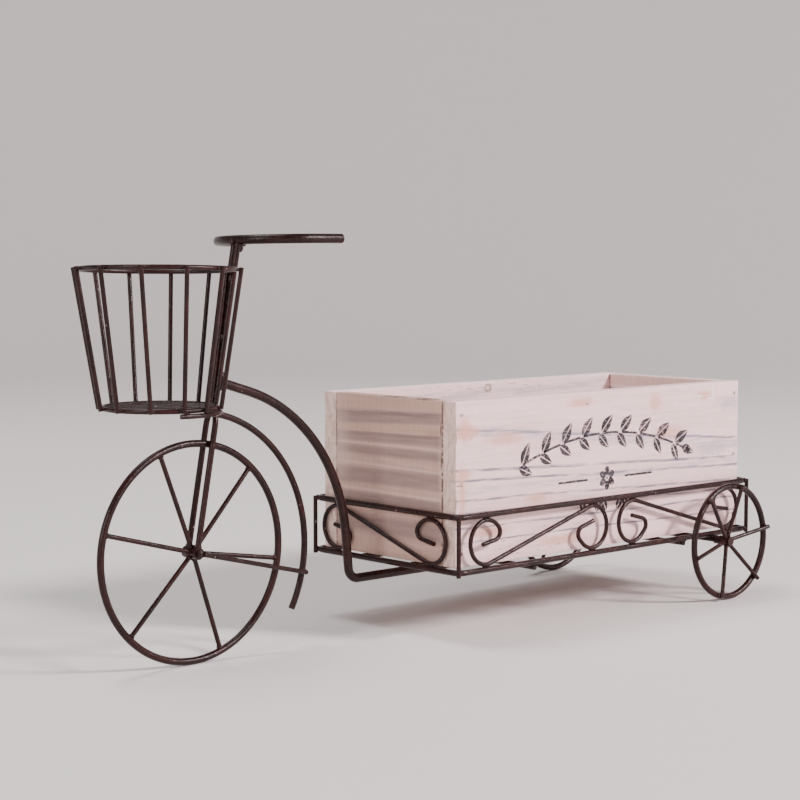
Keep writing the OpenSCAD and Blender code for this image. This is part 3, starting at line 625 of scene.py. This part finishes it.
def makeBoard(name, nodeName, material, look):
    low, high = corners(nodeName)
    steps = [look["step"] * (look["longStep"] if k == look["along"] else 1.0) for k in range(3)]
    bm = boardShell([boardCuts(low[k], high[k], steps[k], look["edge"]) for k in range(3)])
    wearBoard(bm, low, high, look)
    board = linkPiece(name, meshFrom(bm, name), material, "planter_box")
    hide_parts(nodeName)


boardLook = {
    "step": 2.2 * mm, "longStep": 1.6, "along": 0, "seed": (1.0, 2.0, 3.0),
    "edge": 1.1 * mm, "edgeShare": 0.55, "leastShare": 0.25,
    "nickScale": 55, "nickShare": 0.35, "deepFrom": 0.35, "deepShare": 0.9,
    "waveDepth": 0.1 * mm, "grainAlong": 22, "grainAcross": 260,
    "dentDepth": 0.8 * mm, "dentScale": 140, "dentFrom": 0.45,
    "sawDepth": 0.04 * mm, "sawPitch": 900.0, "sawWander": 3, "wanderScale": 30,
    "endFrom": 0.7, "endWave": 900, "endSaw": 400}
sawnLook = dict(boardLook, along=1, waveDepth=0.16 * mm, sawDepth=0.09 * mm, sawPitch=2400.0)

makeBoard("washedBoardLeft", "box_side_left", leftWood, boardLook)
makeBoard("washedBoardRight", "box_side_right", rightWood, dict(boardLook, seed=(7.0, 1.0, 4.0)))
makeBoard("sawnBoardFront", "box_end_front", endWood, dict(sawnLook, seed=(3.0, 9.0, 2.0)))
makeBoard("sawnBoardRear", "box_end_rear", rearWood, dict(sawnLook, seed=(5.0, 4.0, 8.0)))
makeBoard("sawnBoardBottom", "box_bottom", floorWood, dict(boardLook, seed=(2.0, 6.0, 5.0), step=3.0 * mm))
print("boards made")


# Stencilled sprig on the left board, and dashes beside a flower; places in mm

sprigLook = {
    "middle": 146.0, "top": 127.6, "halfSpan": 86.0, "drop": 17.0, "lift": 0.05,
    "leaves": 9, "leafSpan": 1.84, "leafStep": (1.5, 0.9), "leafTilt": 44.0, "leafSizes": {-1: 0.86, 1: 1.0},
    "leafLength": 16.0, "leafWidth": 8.2, "leafTaper": 0.25, "leafBelly": 0.85, "leafPoints": 14,
    "veinGap": 0.75, "tipPlace": 0.95, "tipTilt": -22.0, "tipSize": 0.85,
    "stem": 1.7, "stemGap": 0.03, "stemPiece": 0.19, "stemPoints": 8, "aheadStep": 0.02,
    "flower": (146.5, 96.0), "petals": 6, "petal": 8.2, "petalMiddle": 0.62, "petalReach": 0.4,
    "petalWidth": 0.3, "petalPoints": 16, "eye": 0.9, "eyePoints": 14,
    "dashes": ((97.0, 126.5), (165.0, 194.5)), "dashHeight": 96.2, "dashWidth": 1.5, "dashPoints": 6,
    "lowRow": ((124.0, 118.0), (135.0, 62.0), (146.0, 118.0), (157.0, 62.0), (168.0, 118.0)),
    "lowHeight": 73.5, "lowSize": 0.7}


def sprigLine(look, t):
    # t runs from -1 to 1 along the arch
    return Vector((look["middle"] + look["halfSpan"] * t, look["top"] - look["drop"] * t * t))


def axes(heading):
    forward = Vector((math.cos(heading), math.sin(heading)))
    return forward, Vector((-forward.y, forward.x))


def leafHalves(base, heading, look, size=1.0):
    # Two halves of a leaf with the stencil's bridge between them
    forward, side = axes(heading)
    steps = [i / look["leafPoints"] for i in range(look["leafPoints"] + 1)]
    halves = []
    for sign in bothSigns:
        outer, inner = [], []
        for s in steps:
            taper = 1.0 - look["leafTaper"] * s
            bulge = math.sin(math.pi * s ** look["leafBelly"]) * look["leafWidth"] / 2 * taper * size
            spine = base + forward * (s * look["leafLength"] * size)
            outer.append(spine + side * sign * (look["veinGap"] / 2 + bulge))
            inner.append(spine + side * sign * look["veinGap"] / 2)
        halves.append(outer + inner[::-1])
    return halves


def petals(middle, look):
    shapes = []
    for turn in turns(look["petals"]):
        forward, side = axes(turn + math.pi / 2)
        points = []
        for a in turns(look["petalPoints"]):
            reach = look["petal"] * (look["petalMiddle"] + look["petalReach"] * math.cos(a))
            aside = look["petal"] * look["petalWidth"] * math.sin(a)
            points.append(middle + forward * reach + side * aside)
        shapes.append(points)
    shapes.append([middle + axes(a)[0] * look["eye"] for a in turns(look["eyePoints"])])
    return shapes


def stripe(points, width):
    left, right = [], []
    for i, p in enumerate(points):
        ahead = points[min(i + 1, len(points) - 1)] - points[max(i - 1, 0)]
        side = Vector((-ahead.y, ahead.x)).normalized() * width / 2
        left.append(p + side)
        right.append(p - side)
    return left + right[::-1]


def sprigShapes(look):
    shapes = []
    stemSteps, dashSteps = look["stemPoints"], look["dashPoints"]
    for k in range(look["leaves"]):
        t = -1.0 + look["leafSpan"] * k / (look["leaves"] - 1)
        base = sprigLine(look, t)
        ahead = sprigLine(look, t + look["aheadStep"]) - base
        heading = math.atan2(ahead.y, ahead.x)
        for sign in bothSigns:
            tilt = sign * math.radians(look["leafTilt"])
            shapes += leafHalves(base + Vector(look["leafStep"]) * sign, heading + tilt, look,
                                 look["leafSizes"][sign])
        start = t + look["stemGap"]
        shapes.append(stripe([sprigLine(look, start + look["stemPiece"] * i / stemSteps)
                              for i in range(stemSteps + 1)], look["stem"]))
    tip = sprigLine(look, look["tipPlace"])
    shapes += leafHalves(tip, math.radians(look["tipTilt"]), look, look["tipSize"])
    shapes += petals(Vector(look["flower"]), look)
    for start, end in look["dashes"]:
        shapes.append(stripe([Vector((start + (end - start) * i / dashSteps, look["dashHeight"]))
                              for i in range(dashSteps + 1)], look["dashWidth"]))
    for x, tilt in look["lowRow"]:
        shapes += leafHalves(Vector((x, look["lowHeight"])), math.radians(tilt), look, look["lowSize"])
    return shapes


def makeSprig(look):
    bm = bmesh.new()
    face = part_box("box_side_left")[0][1] - look["lift"] * mm
    for points in sprigShapes(look):
        bm.faces.new([bm.verts.new((boxFront + p.x * mm, face, p.y * mm)) for p in points])
    bmesh.ops.recalc_face_normals(bm, faces=bm.faces)
    for item in bm.faces:
        if item.normal.y > 0:
            item.normal_flip()
    bmesh.ops.triangulate(bm, faces=bm.faces)
    linkPiece("stencilSprig", meshFrom(bm, "stencilSprig", False), stencilInk, "planter_box")


makeSprig(sprigLook)
print("sprig made")


# Weld beads: lumps, rings round a rod and seams between rods; sizes in mm

beadLook = {
    "detail": 3, "uneven": 0.22, "unevenScale": 1.6, "grit": 0.08, "gritScale": 5.0,
    "drift": 50, "around": 36, "section": 10, "sunk": 0.35, "full": 0.8, "ripple": 0.22, "wobble": 0.3,
    "overlap": 0.75}


class weldSet:
    def __init__(self, name, body, seed):
        self.name, self.body = name, body
        self.bm = bmesh.new()
        self.pick = random.Random(seed)

    def lump(self, middle, size, turn=None):
        look = beadLook
        made = bmesh.ops.create_icosphere(self.bm, subdivisions=look["detail"], radius=1.0)["verts"]
        shift = Vector([self.pick.uniform(-look["drift"], look["drift"]) for _ in range(3)])
        for vert in made:
            p = vert.co.copy()
            p *= (1.0 + look["uneven"] * noise.noise(p * look["unevenScale"] + shift)
                  + look["grit"] * noise.noise(p * look["gritScale"] + shift))
            p = Vector([p[k] * size[k] * mm for k in range(3)])
            vert.co = (turn @ p if turn else p) + Vector(middle)

    def pair(self, middle, aside, size, turn=None):
        # A lump on either side of a wire
        for sign in bothSigns:
            self.lump(middle + Vector(aside) * sign * mm, size, turn)

    def lumps(self, origin, rows):
        # A row holds a place from the origin and a size, and a tilt about Y in degrees if there is one
        for place, size, *tilt in rows:
            turn = Matrix.Rotation(math.radians(tilt[0]), 3, "Y") if tilt else None
            self.lump(origin + Vector(place) * mm, size, turn)

    def ring(self, middle, axis, radius, thick, reach, count):
        # A bead with so many lumps laid round a rod of that radius
        look = beadLook
        turn = Vector(axis).to_track_quat("Z", "Y").to_matrix()
        shift = self.pick.uniform(0, look["drift"])
        rows = []
        for a in turns(look["around"]):
            ripple = (look["full"] + look["ripple"] * math.sin(a * count + shift)
                      + look["wobble"] * noise.noise((math.cos(a), math.sin(a), shift)))
            row = []
            for b in turns(look["section"]):
                r = (radius - look["sunk"] * thick + thick * ripple * math.cos(b)) * mm
                h = thick * reach * ripple * math.sin(b) * mm
                spot = Vector((r * math.cos(a), r * math.sin(a), h))
                row.append(self.bm.verts.new(turn @ spot + Vector(middle)))
            rows.append(row)
        for i, j in product(range(look["around"]), range(look["section"])):
            k, m = (i + 1) % look["around"], (j + 1) % look["section"]
            self.bm.faces.new((rows[i][j], rows[k][j], rows[k][m], rows[i][m]))

    def seam(self, start, end, thick, beads=2):
        # Overlapping lumps along a line
        turn = (end - start).to_track_quat("X", "Z").to_matrix()
        length = max((end - start).length / mm / beads * beadLook["overlap"], thick)
        for i in range(beads):
            self.lump(start.lerp(end, (i + 0.5) / beads), (length, thick, thick), turn)

    def finish(self):
        bmesh.ops.recalc_face_normals(self.bm, faces=self.bm.faces)
        linkPiece(self.name, meshFrom(self.bm, self.name), weldPaint, self.body)


frontHub = boxMiddle("front_hub")
stemLean = math.tan(math.radians(10.5))


def stemAt(z, y=0.0):
    # Point of the fork's plane at height z, in mm
    return Vector((frontHub.x + (z * mm - frontHub.z) * stemLean, y * mm, z * mm))


def compass(degrees):
    # Direction in the ground plane
    a = math.radians(degrees)
    return Vector((math.cos(a), math.sin(a), 0))


forkBeads = {
    "tubeDrop": 17.0, "tubeRoot": 173.2, "tubeOut": 2.6, "tubeRing": (3.0, 1.2, 1.2, 6),
    "rootLumps": (((3.6, 0.0, 3.2), (3.4, 2.3, 2.8), 38.0), ((1.7, 0.0, 6.2), (1.1, 1.6, 2.8)),
                  ((3.4, -2.3, 1.8), (1.9, 1.2, 1.5)), ((2.4, 0.2, -4.3), (1.6, 1.8, 1.6))),
    "barHeight": 256.6,
    "barLumps": (((2.2, -1.2, -1.3), (2.3, 1.9, 3.0)), ((-0.6, 0.0, 0.3), (2.2, 3.2, 1.3)),
                 ((-2.6, 0.6, 2.0), (1.3, 1.9, 2.3))),
    "fenderHeight": 153.5, "legAside": 2.1, "legLump": (2.2, 0.9, 2.4),
    "split": (168.0, 164.0), "splitAside": 0.3, "splitThick": 1.0,
    "eyeAside": 4.6, "eyeUp": 4.1, "eyeRing": (1.9, 0.9, 1.1, 5),
    "stemSeams": (182.0, 203.0, 224.0, 243.0), "seamReach": 2.0, "seamBehind": 1.2, "seamThick": 0.55}


def weldFork(look):
    welds = weldSet("forkWelds", "frame", 11)
    slope = math.radians(look["tubeDrop"])
    tube = Vector((math.cos(slope), 0, -math.sin(slope)))
    root = stemAt(look["tubeRoot"])
    welds.ring(root + tube * look["tubeOut"] * mm, tube, *look["tubeRing"])
    welds.lumps(root, look["rootLumps"])
    welds.lumps(stemAt(look["barHeight"]), look["barLumps"])
    up = Vector((stemLean, 0, 1)).normalized()
    splitTop, splitEnd = look["split"]
    for side in bothSigns:
        welds.lump(stemAt(look["fenderHeight"], side * look["legAside"]), look["legLump"])
        welds.seam(stemAt(splitTop, side * look["splitAside"]), stemAt(splitEnd), look["splitThick"])
        eye = frontHub + Vector((0, side * look["eyeAside"], 0)) * mm
        welds.ring(eye + up * look["eyeUp"] * mm, up, *look["eyeRing"])
    behind = Vector((look["seamBehind"], 0, 0)) * mm
    for z in look["stemSeams"]:
        welds.seam(stemAt(z - look["seamReach"]) + behind, stemAt(z + look["seamReach"]) + behind,
                   look["seamThick"])
    welds.finish()


basketBeads = {
    "wireRadius": 1.5, "ringTilts": (0.0, 2.4), "tiltHeading": 227.0,
    "lowAngles": (15, 45, 78, 106, 139, 164, 193, 226.5, 257.5, 282, 320, 358),
    "topAngles": (15, 45, 75, 104, 139, 164, 194, 224, 254.5, 284, 320, 358),
    "wireOut": 1.45, "wireAside": 1.1, "wireLump": (0.8, 1.0, 0.9),
    "floorHeading": -58.0, "floorWires": (-24, -13, -2, 9, 20), "floorInside": 1.9,
    "floorLump": (1.3, 1.5, 1.5),
    "bowAngles": (262, 285, 305, 330, 350), "bowOut": 1.3, "bowUp": 1.6, "bowLump": (1.5, 1.0, 0.8),
    "legHeight": 156.9, "legAside": 2.4, "legPlace": (-1.9, 0, 0.2), "legLump": (1.0, 1.5, 1.3),
    "stemHeights": (165.0, 200.0, 236.0), "stemPlace": (-2.0, -1.2, 0), "stemLump": (0.8, 0.9, 2.4)}


def weldBasket(look):
    welds = weldSet("basketWelds", "frame", 23)
    radii, middles = [], []
    for nodeName in ("basket_bottom_ring", "basket_top_ring"):
        low, high = corners(nodeName)
        radii.append((high.y - low.y) / 2 / mm - look["wireRadius"])
        middles.append((low + high) / 2)
    lowRadius, lowRing = radii[0], middles[0]
    for middle, radius, tilt, angles in zip(middles, radii, look["ringTilts"],
                                            (look["lowAngles"], look["topAngles"])):
        for angle in angles:
            out = compass(angle)
            lift = radius * math.cos(math.radians(angle - look["tiltHeading"])) * math.tan(math.radians(tilt))
            spot = middle + out * (radius + look["wireOut"]) * mm + Vector((0, 0, lift)) * mm
            aside = Vector((-out.y, out.x, 0)) * look["wireAside"]
            welds.pair(spot, aside, look["wireLump"], Matrix.Rotation(math.radians(angle), 3, "Z"))
    along = compass(look["floorHeading"])
    across = Vector((-along.y, along.x, 0))
    turn = Matrix.Rotation(math.radians(look["floorHeading"]), 3, "Z")
    for offset in look["floorWires"]:
        half = math.sqrt(lowRadius ** 2 - offset ** 2) - look["floorInside"]
        welds.pair(lowRing + across * offset * mm, along * half, look["floorLump"], turn)
    bowHeight = boxMiddle("basket_bow").z
    for angle in look["bowAngles"]:
        spot = lowRing + compass(angle) * (lowRadius + look["bowOut"]) * mm
        spot.z = bowHeight + look["bowUp"] * mm
        welds.lump(spot, look["bowLump"], Matrix.Rotation(math.radians(angle + 90), 3, "Z"))
    for side in bothSigns:
        welds.lump(stemAt(look["legHeight"], side * look["legAside"]) + Vector(look["legPlace"]) * mm,
                   look["legLump"])
    for z in look["stemHeights"]:
        welds.lump(stemAt(z) + Vector(look["stemPlace"]) * mm, look["stemLump"])
    welds.finish()


rackBeads = {
    "railRadius": 2.0, "cornerBend": 6.0, "postOut": 8.1, "postAside": 1.25, "postLump": (1.1, 1.1, 1.9),
    "scrollReach": 16.0, "sideCurls": (-123.9, -20.9, 20.9, 123.9), "sideInside": 0.3,
    "sideLump": (1.7, 1.0, 0.8), "endCurl": 46.0, "endShifts": (2.0, 0.0), "endLump": (1.0, 1.7, 0.8),
    "curlAside": 1.6, "barRadius": 1.75, "longRadius": 2.0,
    "crossAside": 1.3, "crossIn": 0.4, "crossUp": 1.75, "crossLump": (1.2, 1.6, 0.9),
    "longAside": 1.2, "longUp": 1.8, "longLump": (1.1, 1.3, 0.8),
    "middleAside": 1.2, "middleDown": 1.8, "middleLump": (1.2, 1.9, 0.9),
    "barOut": 2.2, "barRing": (1.9, 0.7, 1.0, 6),
    "axleAside": 1.7, "axleUp": 1.9, "axleLump": (1.3, 1.6, 1.0)}


def weldRack(look):
    welds = weldSet("rackWelds", "frame", 37)
    low, high = corners("rack_bottom_rail")
    railTop, railLow = boxMiddle("rack_top_rail").z, boxMiddle("rack_bottom_rail").z
    rail, bend = look["railRadius"] * mm, look["cornerBend"] * mm
    front, rear, side = low.x + rail, high.x - rail, high.y - rail
    for (sx, endX), sy, z in product(((-1, front), (1, rear)), bothSigns, (railTop, railLow)):
        out = Vector((sx, sy, 0)) * math.sqrt(0.5)
        spot = Vector((endX - sx * bend, sy * (side - bend), z)) + out * look["postOut"] * mm
        welds.pair(spot, Vector((-out.y, out.x, 0)) * look["postAside"], look["postLump"])
    scrollZ, reach = (railTop + railLow) / 2, look["scrollReach"] * mm
    curlAside, inside = look["curlAside"], look["sideInside"] * mm
    for sy, curl, up in product(bothSigns, look["sideCurls"], bothSigns):
        spot = Vector(((front + rear) / 2 + curl * mm, sy * (side - inside), scrollZ + up * reach))
        welds.pair(spot, (curlAside, 0, 0), look["sideLump"])
    for (endX, shift), sy, up in product(zip((front, rear), look["endShifts"]), bothSigns, bothSigns):
        spot = Vector((endX, (shift + sy * look["endCurl"]) * mm, scrollZ + up * reach))
        welds.pair(spot, (0, curlAside, 0), look["endLump"])
    crossLow, crossHigh = corners("rack_cross_bars")
    crossZ = (crossLow.z + crossHigh.z) / 2
    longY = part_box("rack_long_bars")[1][1] - look["longRadius"] * mm
    bar, crossY = look["barRadius"] * mm, side - look["crossIn"] * mm
    for x in (crossLow.x + bar, crossHigh.x - bar):
        for sy, sign in product(bothSigns, bothSigns):
            welds.lump((x + sign * look["crossAside"] * mm, sy * crossY, crossZ + look["crossUp"] * mm),
                       look["crossLump"])
            welds.lump((x + sign * look["longAside"] * mm, sy * longY, crossZ + look["longUp"] * mm),
                       look["longLump"])
        welds.pair(Vector((x, 0, crossZ - look["middleDown"] * mm)), (look["middleAside"], 0, 0),
                   look["middleLump"])
    for (endX, sx), sy in product(((front, 1), (rear, -1)), bothSigns):
        welds.ring((endX + sx * look["barOut"] * mm, sy * longY, railLow), (1, 0, 0), *look["barRing"])
    axle = boxMiddle("rear_axle")
    for sy in bothSigns:
        welds.pair(Vector((axle.x, sy * side, axle.z + look["axleUp"] * mm)), (look["axleAside"], 0, 0),
                   look["axleLump"])
    welds.finish()


stayBeads = {
    "tipIn": 1.6, "tipY": -2.3, "tipUp": 1.9,
    "tipLumps": (((0.0, 0.0, 1.3), (1.8, 0.9, 1.0)), ((-0.6, 0.0, -1.2), (1.6, 0.9, 0.9))),
    "hubLumps": (((0.2, -8.0, 0.4), (2.3, 1.1, 2.2)), ((3.0, -7.6, -0.8), (1.6, 1.3, 1.6)),
                 ((4.6, -7.0, 0.1), (1.3, 1.0, 1.1)))}


def weldStay(look):
    welds = weldSet("stayWelds", "frame", 41)
    low, high = corners("fender_stay")
    tip = Vector((high.x - look["tipIn"] * mm, look["tipY"] * mm, low.z + look["tipUp"] * mm))
    welds.lumps(tip, look["tipLumps"])
    welds.lumps(frontHub, look["hubLumps"])
    welds.finish()


# The front spokes butt against the rim; the rear ones lean out by dish degrees to lie beside it
frontBeads = {
    "angles": (-9, 48, 111, 165, 225, 288), "hubRadius": 3.75, "rimRadius": 67.0, "rootY": 0.0, "dish": 0,
    "rootOut": 0.5, "rootRing": (1.5, 0.75, 1.2, 5), "rimInside": 2.6, "rimRing": (1.5, 0.8, 1.1, 6)}
rearBeads = dict(
    frontBeads, angles=(10, 77, 129, 191, 252, 314), hubRadius=3.5, rimRadius=40.25, rootY=84.28, dish=9,
    rimInside=1.6, rimAside=1.3, rimLump=(1.1, 0.8, 1.1))


def weldWheel(name, body, hubNode, side, seed, look):
    welds = weldSet(name, body, seed)
    hub = boxMiddle(hubNode)
    lean = side * math.tan(math.radians(look["dish"]))
    length = look["rimRadius"] - look["hubRadius"]
    for angle in look["angles"]:
        a = math.radians(angle)
        out = Vector((math.cos(a), 0, math.sin(a)))
        leaning = out + Vector((0, lean, 0))
        along = leaning.normalized()
        root = Vector((hub.x, side * look["rootY"] * mm, hub.z)) + out * look["hubRadius"] * mm
        welds.ring(root + along * look["rootOut"] * mm, along, *look["rootRing"])
        if look["dish"]:
            spot = root + leaning * length * mm - Vector((0, side * look["rimInside"], 0)) * mm
            welds.pair(spot, Vector((-out.z, 0, out.x)) * look["rimAside"], look["rimLump"])
        else:
            welds.ring(root + out * (length - look["rimInside"]) * mm, out, *look["rimRing"])
    welds.finish()


weldFork(forkBeads)
weldBasket(basketBeads)
weldRack(rackBeads)
weldStay(stayBeads)
weldWheel("frontWheelWelds", "front_wheel", "front_hub", 1, 53, frontBeads)
weldWheel("rearWheelWelds_left", "rear_wheel_left", "rear_hub_left", -1, 60, rearBeads)
weldWheel("rearWheelWelds_right", "rear_wheel_right", "rear_hub_right", 1, 62, rearBeads)
print("welds made")


# Floor and light

studio = {
    "flatRadius": 2.6, "flatRings": 6, "sweepRadius": 2.4, "sweepRings": 14, "sweepStep": 5, "segments": 96,
    "floor": rgb(0.74, 0.71, 0.7), "floorShade": rgb(0.7178, 0.6887, 0.679), "floorScale": 30.0,
    "floorRough": (0.7, 0.8), "floorGloss": 0.2, "floorDepth": 0.0001,
    "sky": rgb(0.88, 0.86, 0.87), "skyPower": 0.34,
    # Name, place, target, size, power and tint
    "lamps": (("keyPanel", (1.9, -3.4, 2.4), (0.0, 0.0, 0.1), 0.9, 330.0, (1.0, 0.895, 0.9)),
              ("sidePanel", (-3.6, -0.66, 1.55), (-0.1, 0.0, 0.12), 1.15, 62.0, (1.0, 0.94, 0.92)),
              ("topPanel", (-0.4, 1.0, 3.4), (0.0, 0.0, 0.1), 1.2, 60.0, (1.0, 0.99, 0.985)))}


def makeFloor(look):
    # A round floor that sweeps up into a low wall
    flat, sweep = look["flatRadius"], look["sweepRadius"]
    profile = [(flat * i / look["flatRings"], 0.0) for i in range(1, look["flatRings"] + 1)]
    for i in range(1, look["sweepRings"] + 1):
        a = math.radians(look["sweepStep"] * i)
        profile.append((flat + sweep * math.sin(a), sweep * (1 - math.cos(a))))
    bm = bmesh.new()
    middle = bm.verts.new((0, 0, 0))
    rows = []
    for a in turns(look["segments"]):
        rows.append([bm.verts.new((r * math.cos(a), r * math.sin(a), h)) for r, h in profile])
    for row, nextRow in zip(rows, rows[1:] + rows[:1]):
        bm.faces.new((middle, row[0], nextRow[0]))
        for j in range(len(row) - 1):
            bm.faces.new((row[j], row[j + 1], nextRow[j + 1], nextRow[j]))
    mesh = meshFrom(bm, "paleFloor")
    floor = addObject("paleFloor", mesh)
    mat, tree, shader, where = newMaterial("paleFloorPaint", Specular_IOR_Level=look["floorGloss"])
    tone = grainNoise(tree, where, look["floorScale"], 4.0, 0.6)
    colour = blendColour(tree, tone, look["floor"], look["floorShade"])
    rough = fade(tree, tone, 0.3, 0.7, *look["floorRough"])
    finishShader(tree, shader, colour, rough, tone, look["floorDepth"])
    mesh.materials.append(mat)


def makeLight(look):
    world = bpy.data.worlds.new("paleSky")
    bpy.context.scene.world = world
    world.use_nodes = True
    back = world.node_tree.nodes["Background"]
    back.inputs["Color"].default_value = look["sky"]
    back.inputs["Strength"].default_value = look["skyPower"]
    for name, place, target, size, power, tint in look["lamps"]:
        data = bpy.data.lights.new(name, "AREA")
        data.shape = "DISK"
        data.size = size
        data.energy = power
        data.color = tint
        lamp = addObject(name, data)
        lamp.location = place
        lamp.rotation_euler = (Vector(target) - Vector(place)).to_track_quat("-Z", "Y").to_euler()


makeFloor(studio)
makeLight(studio)
print("studio made")
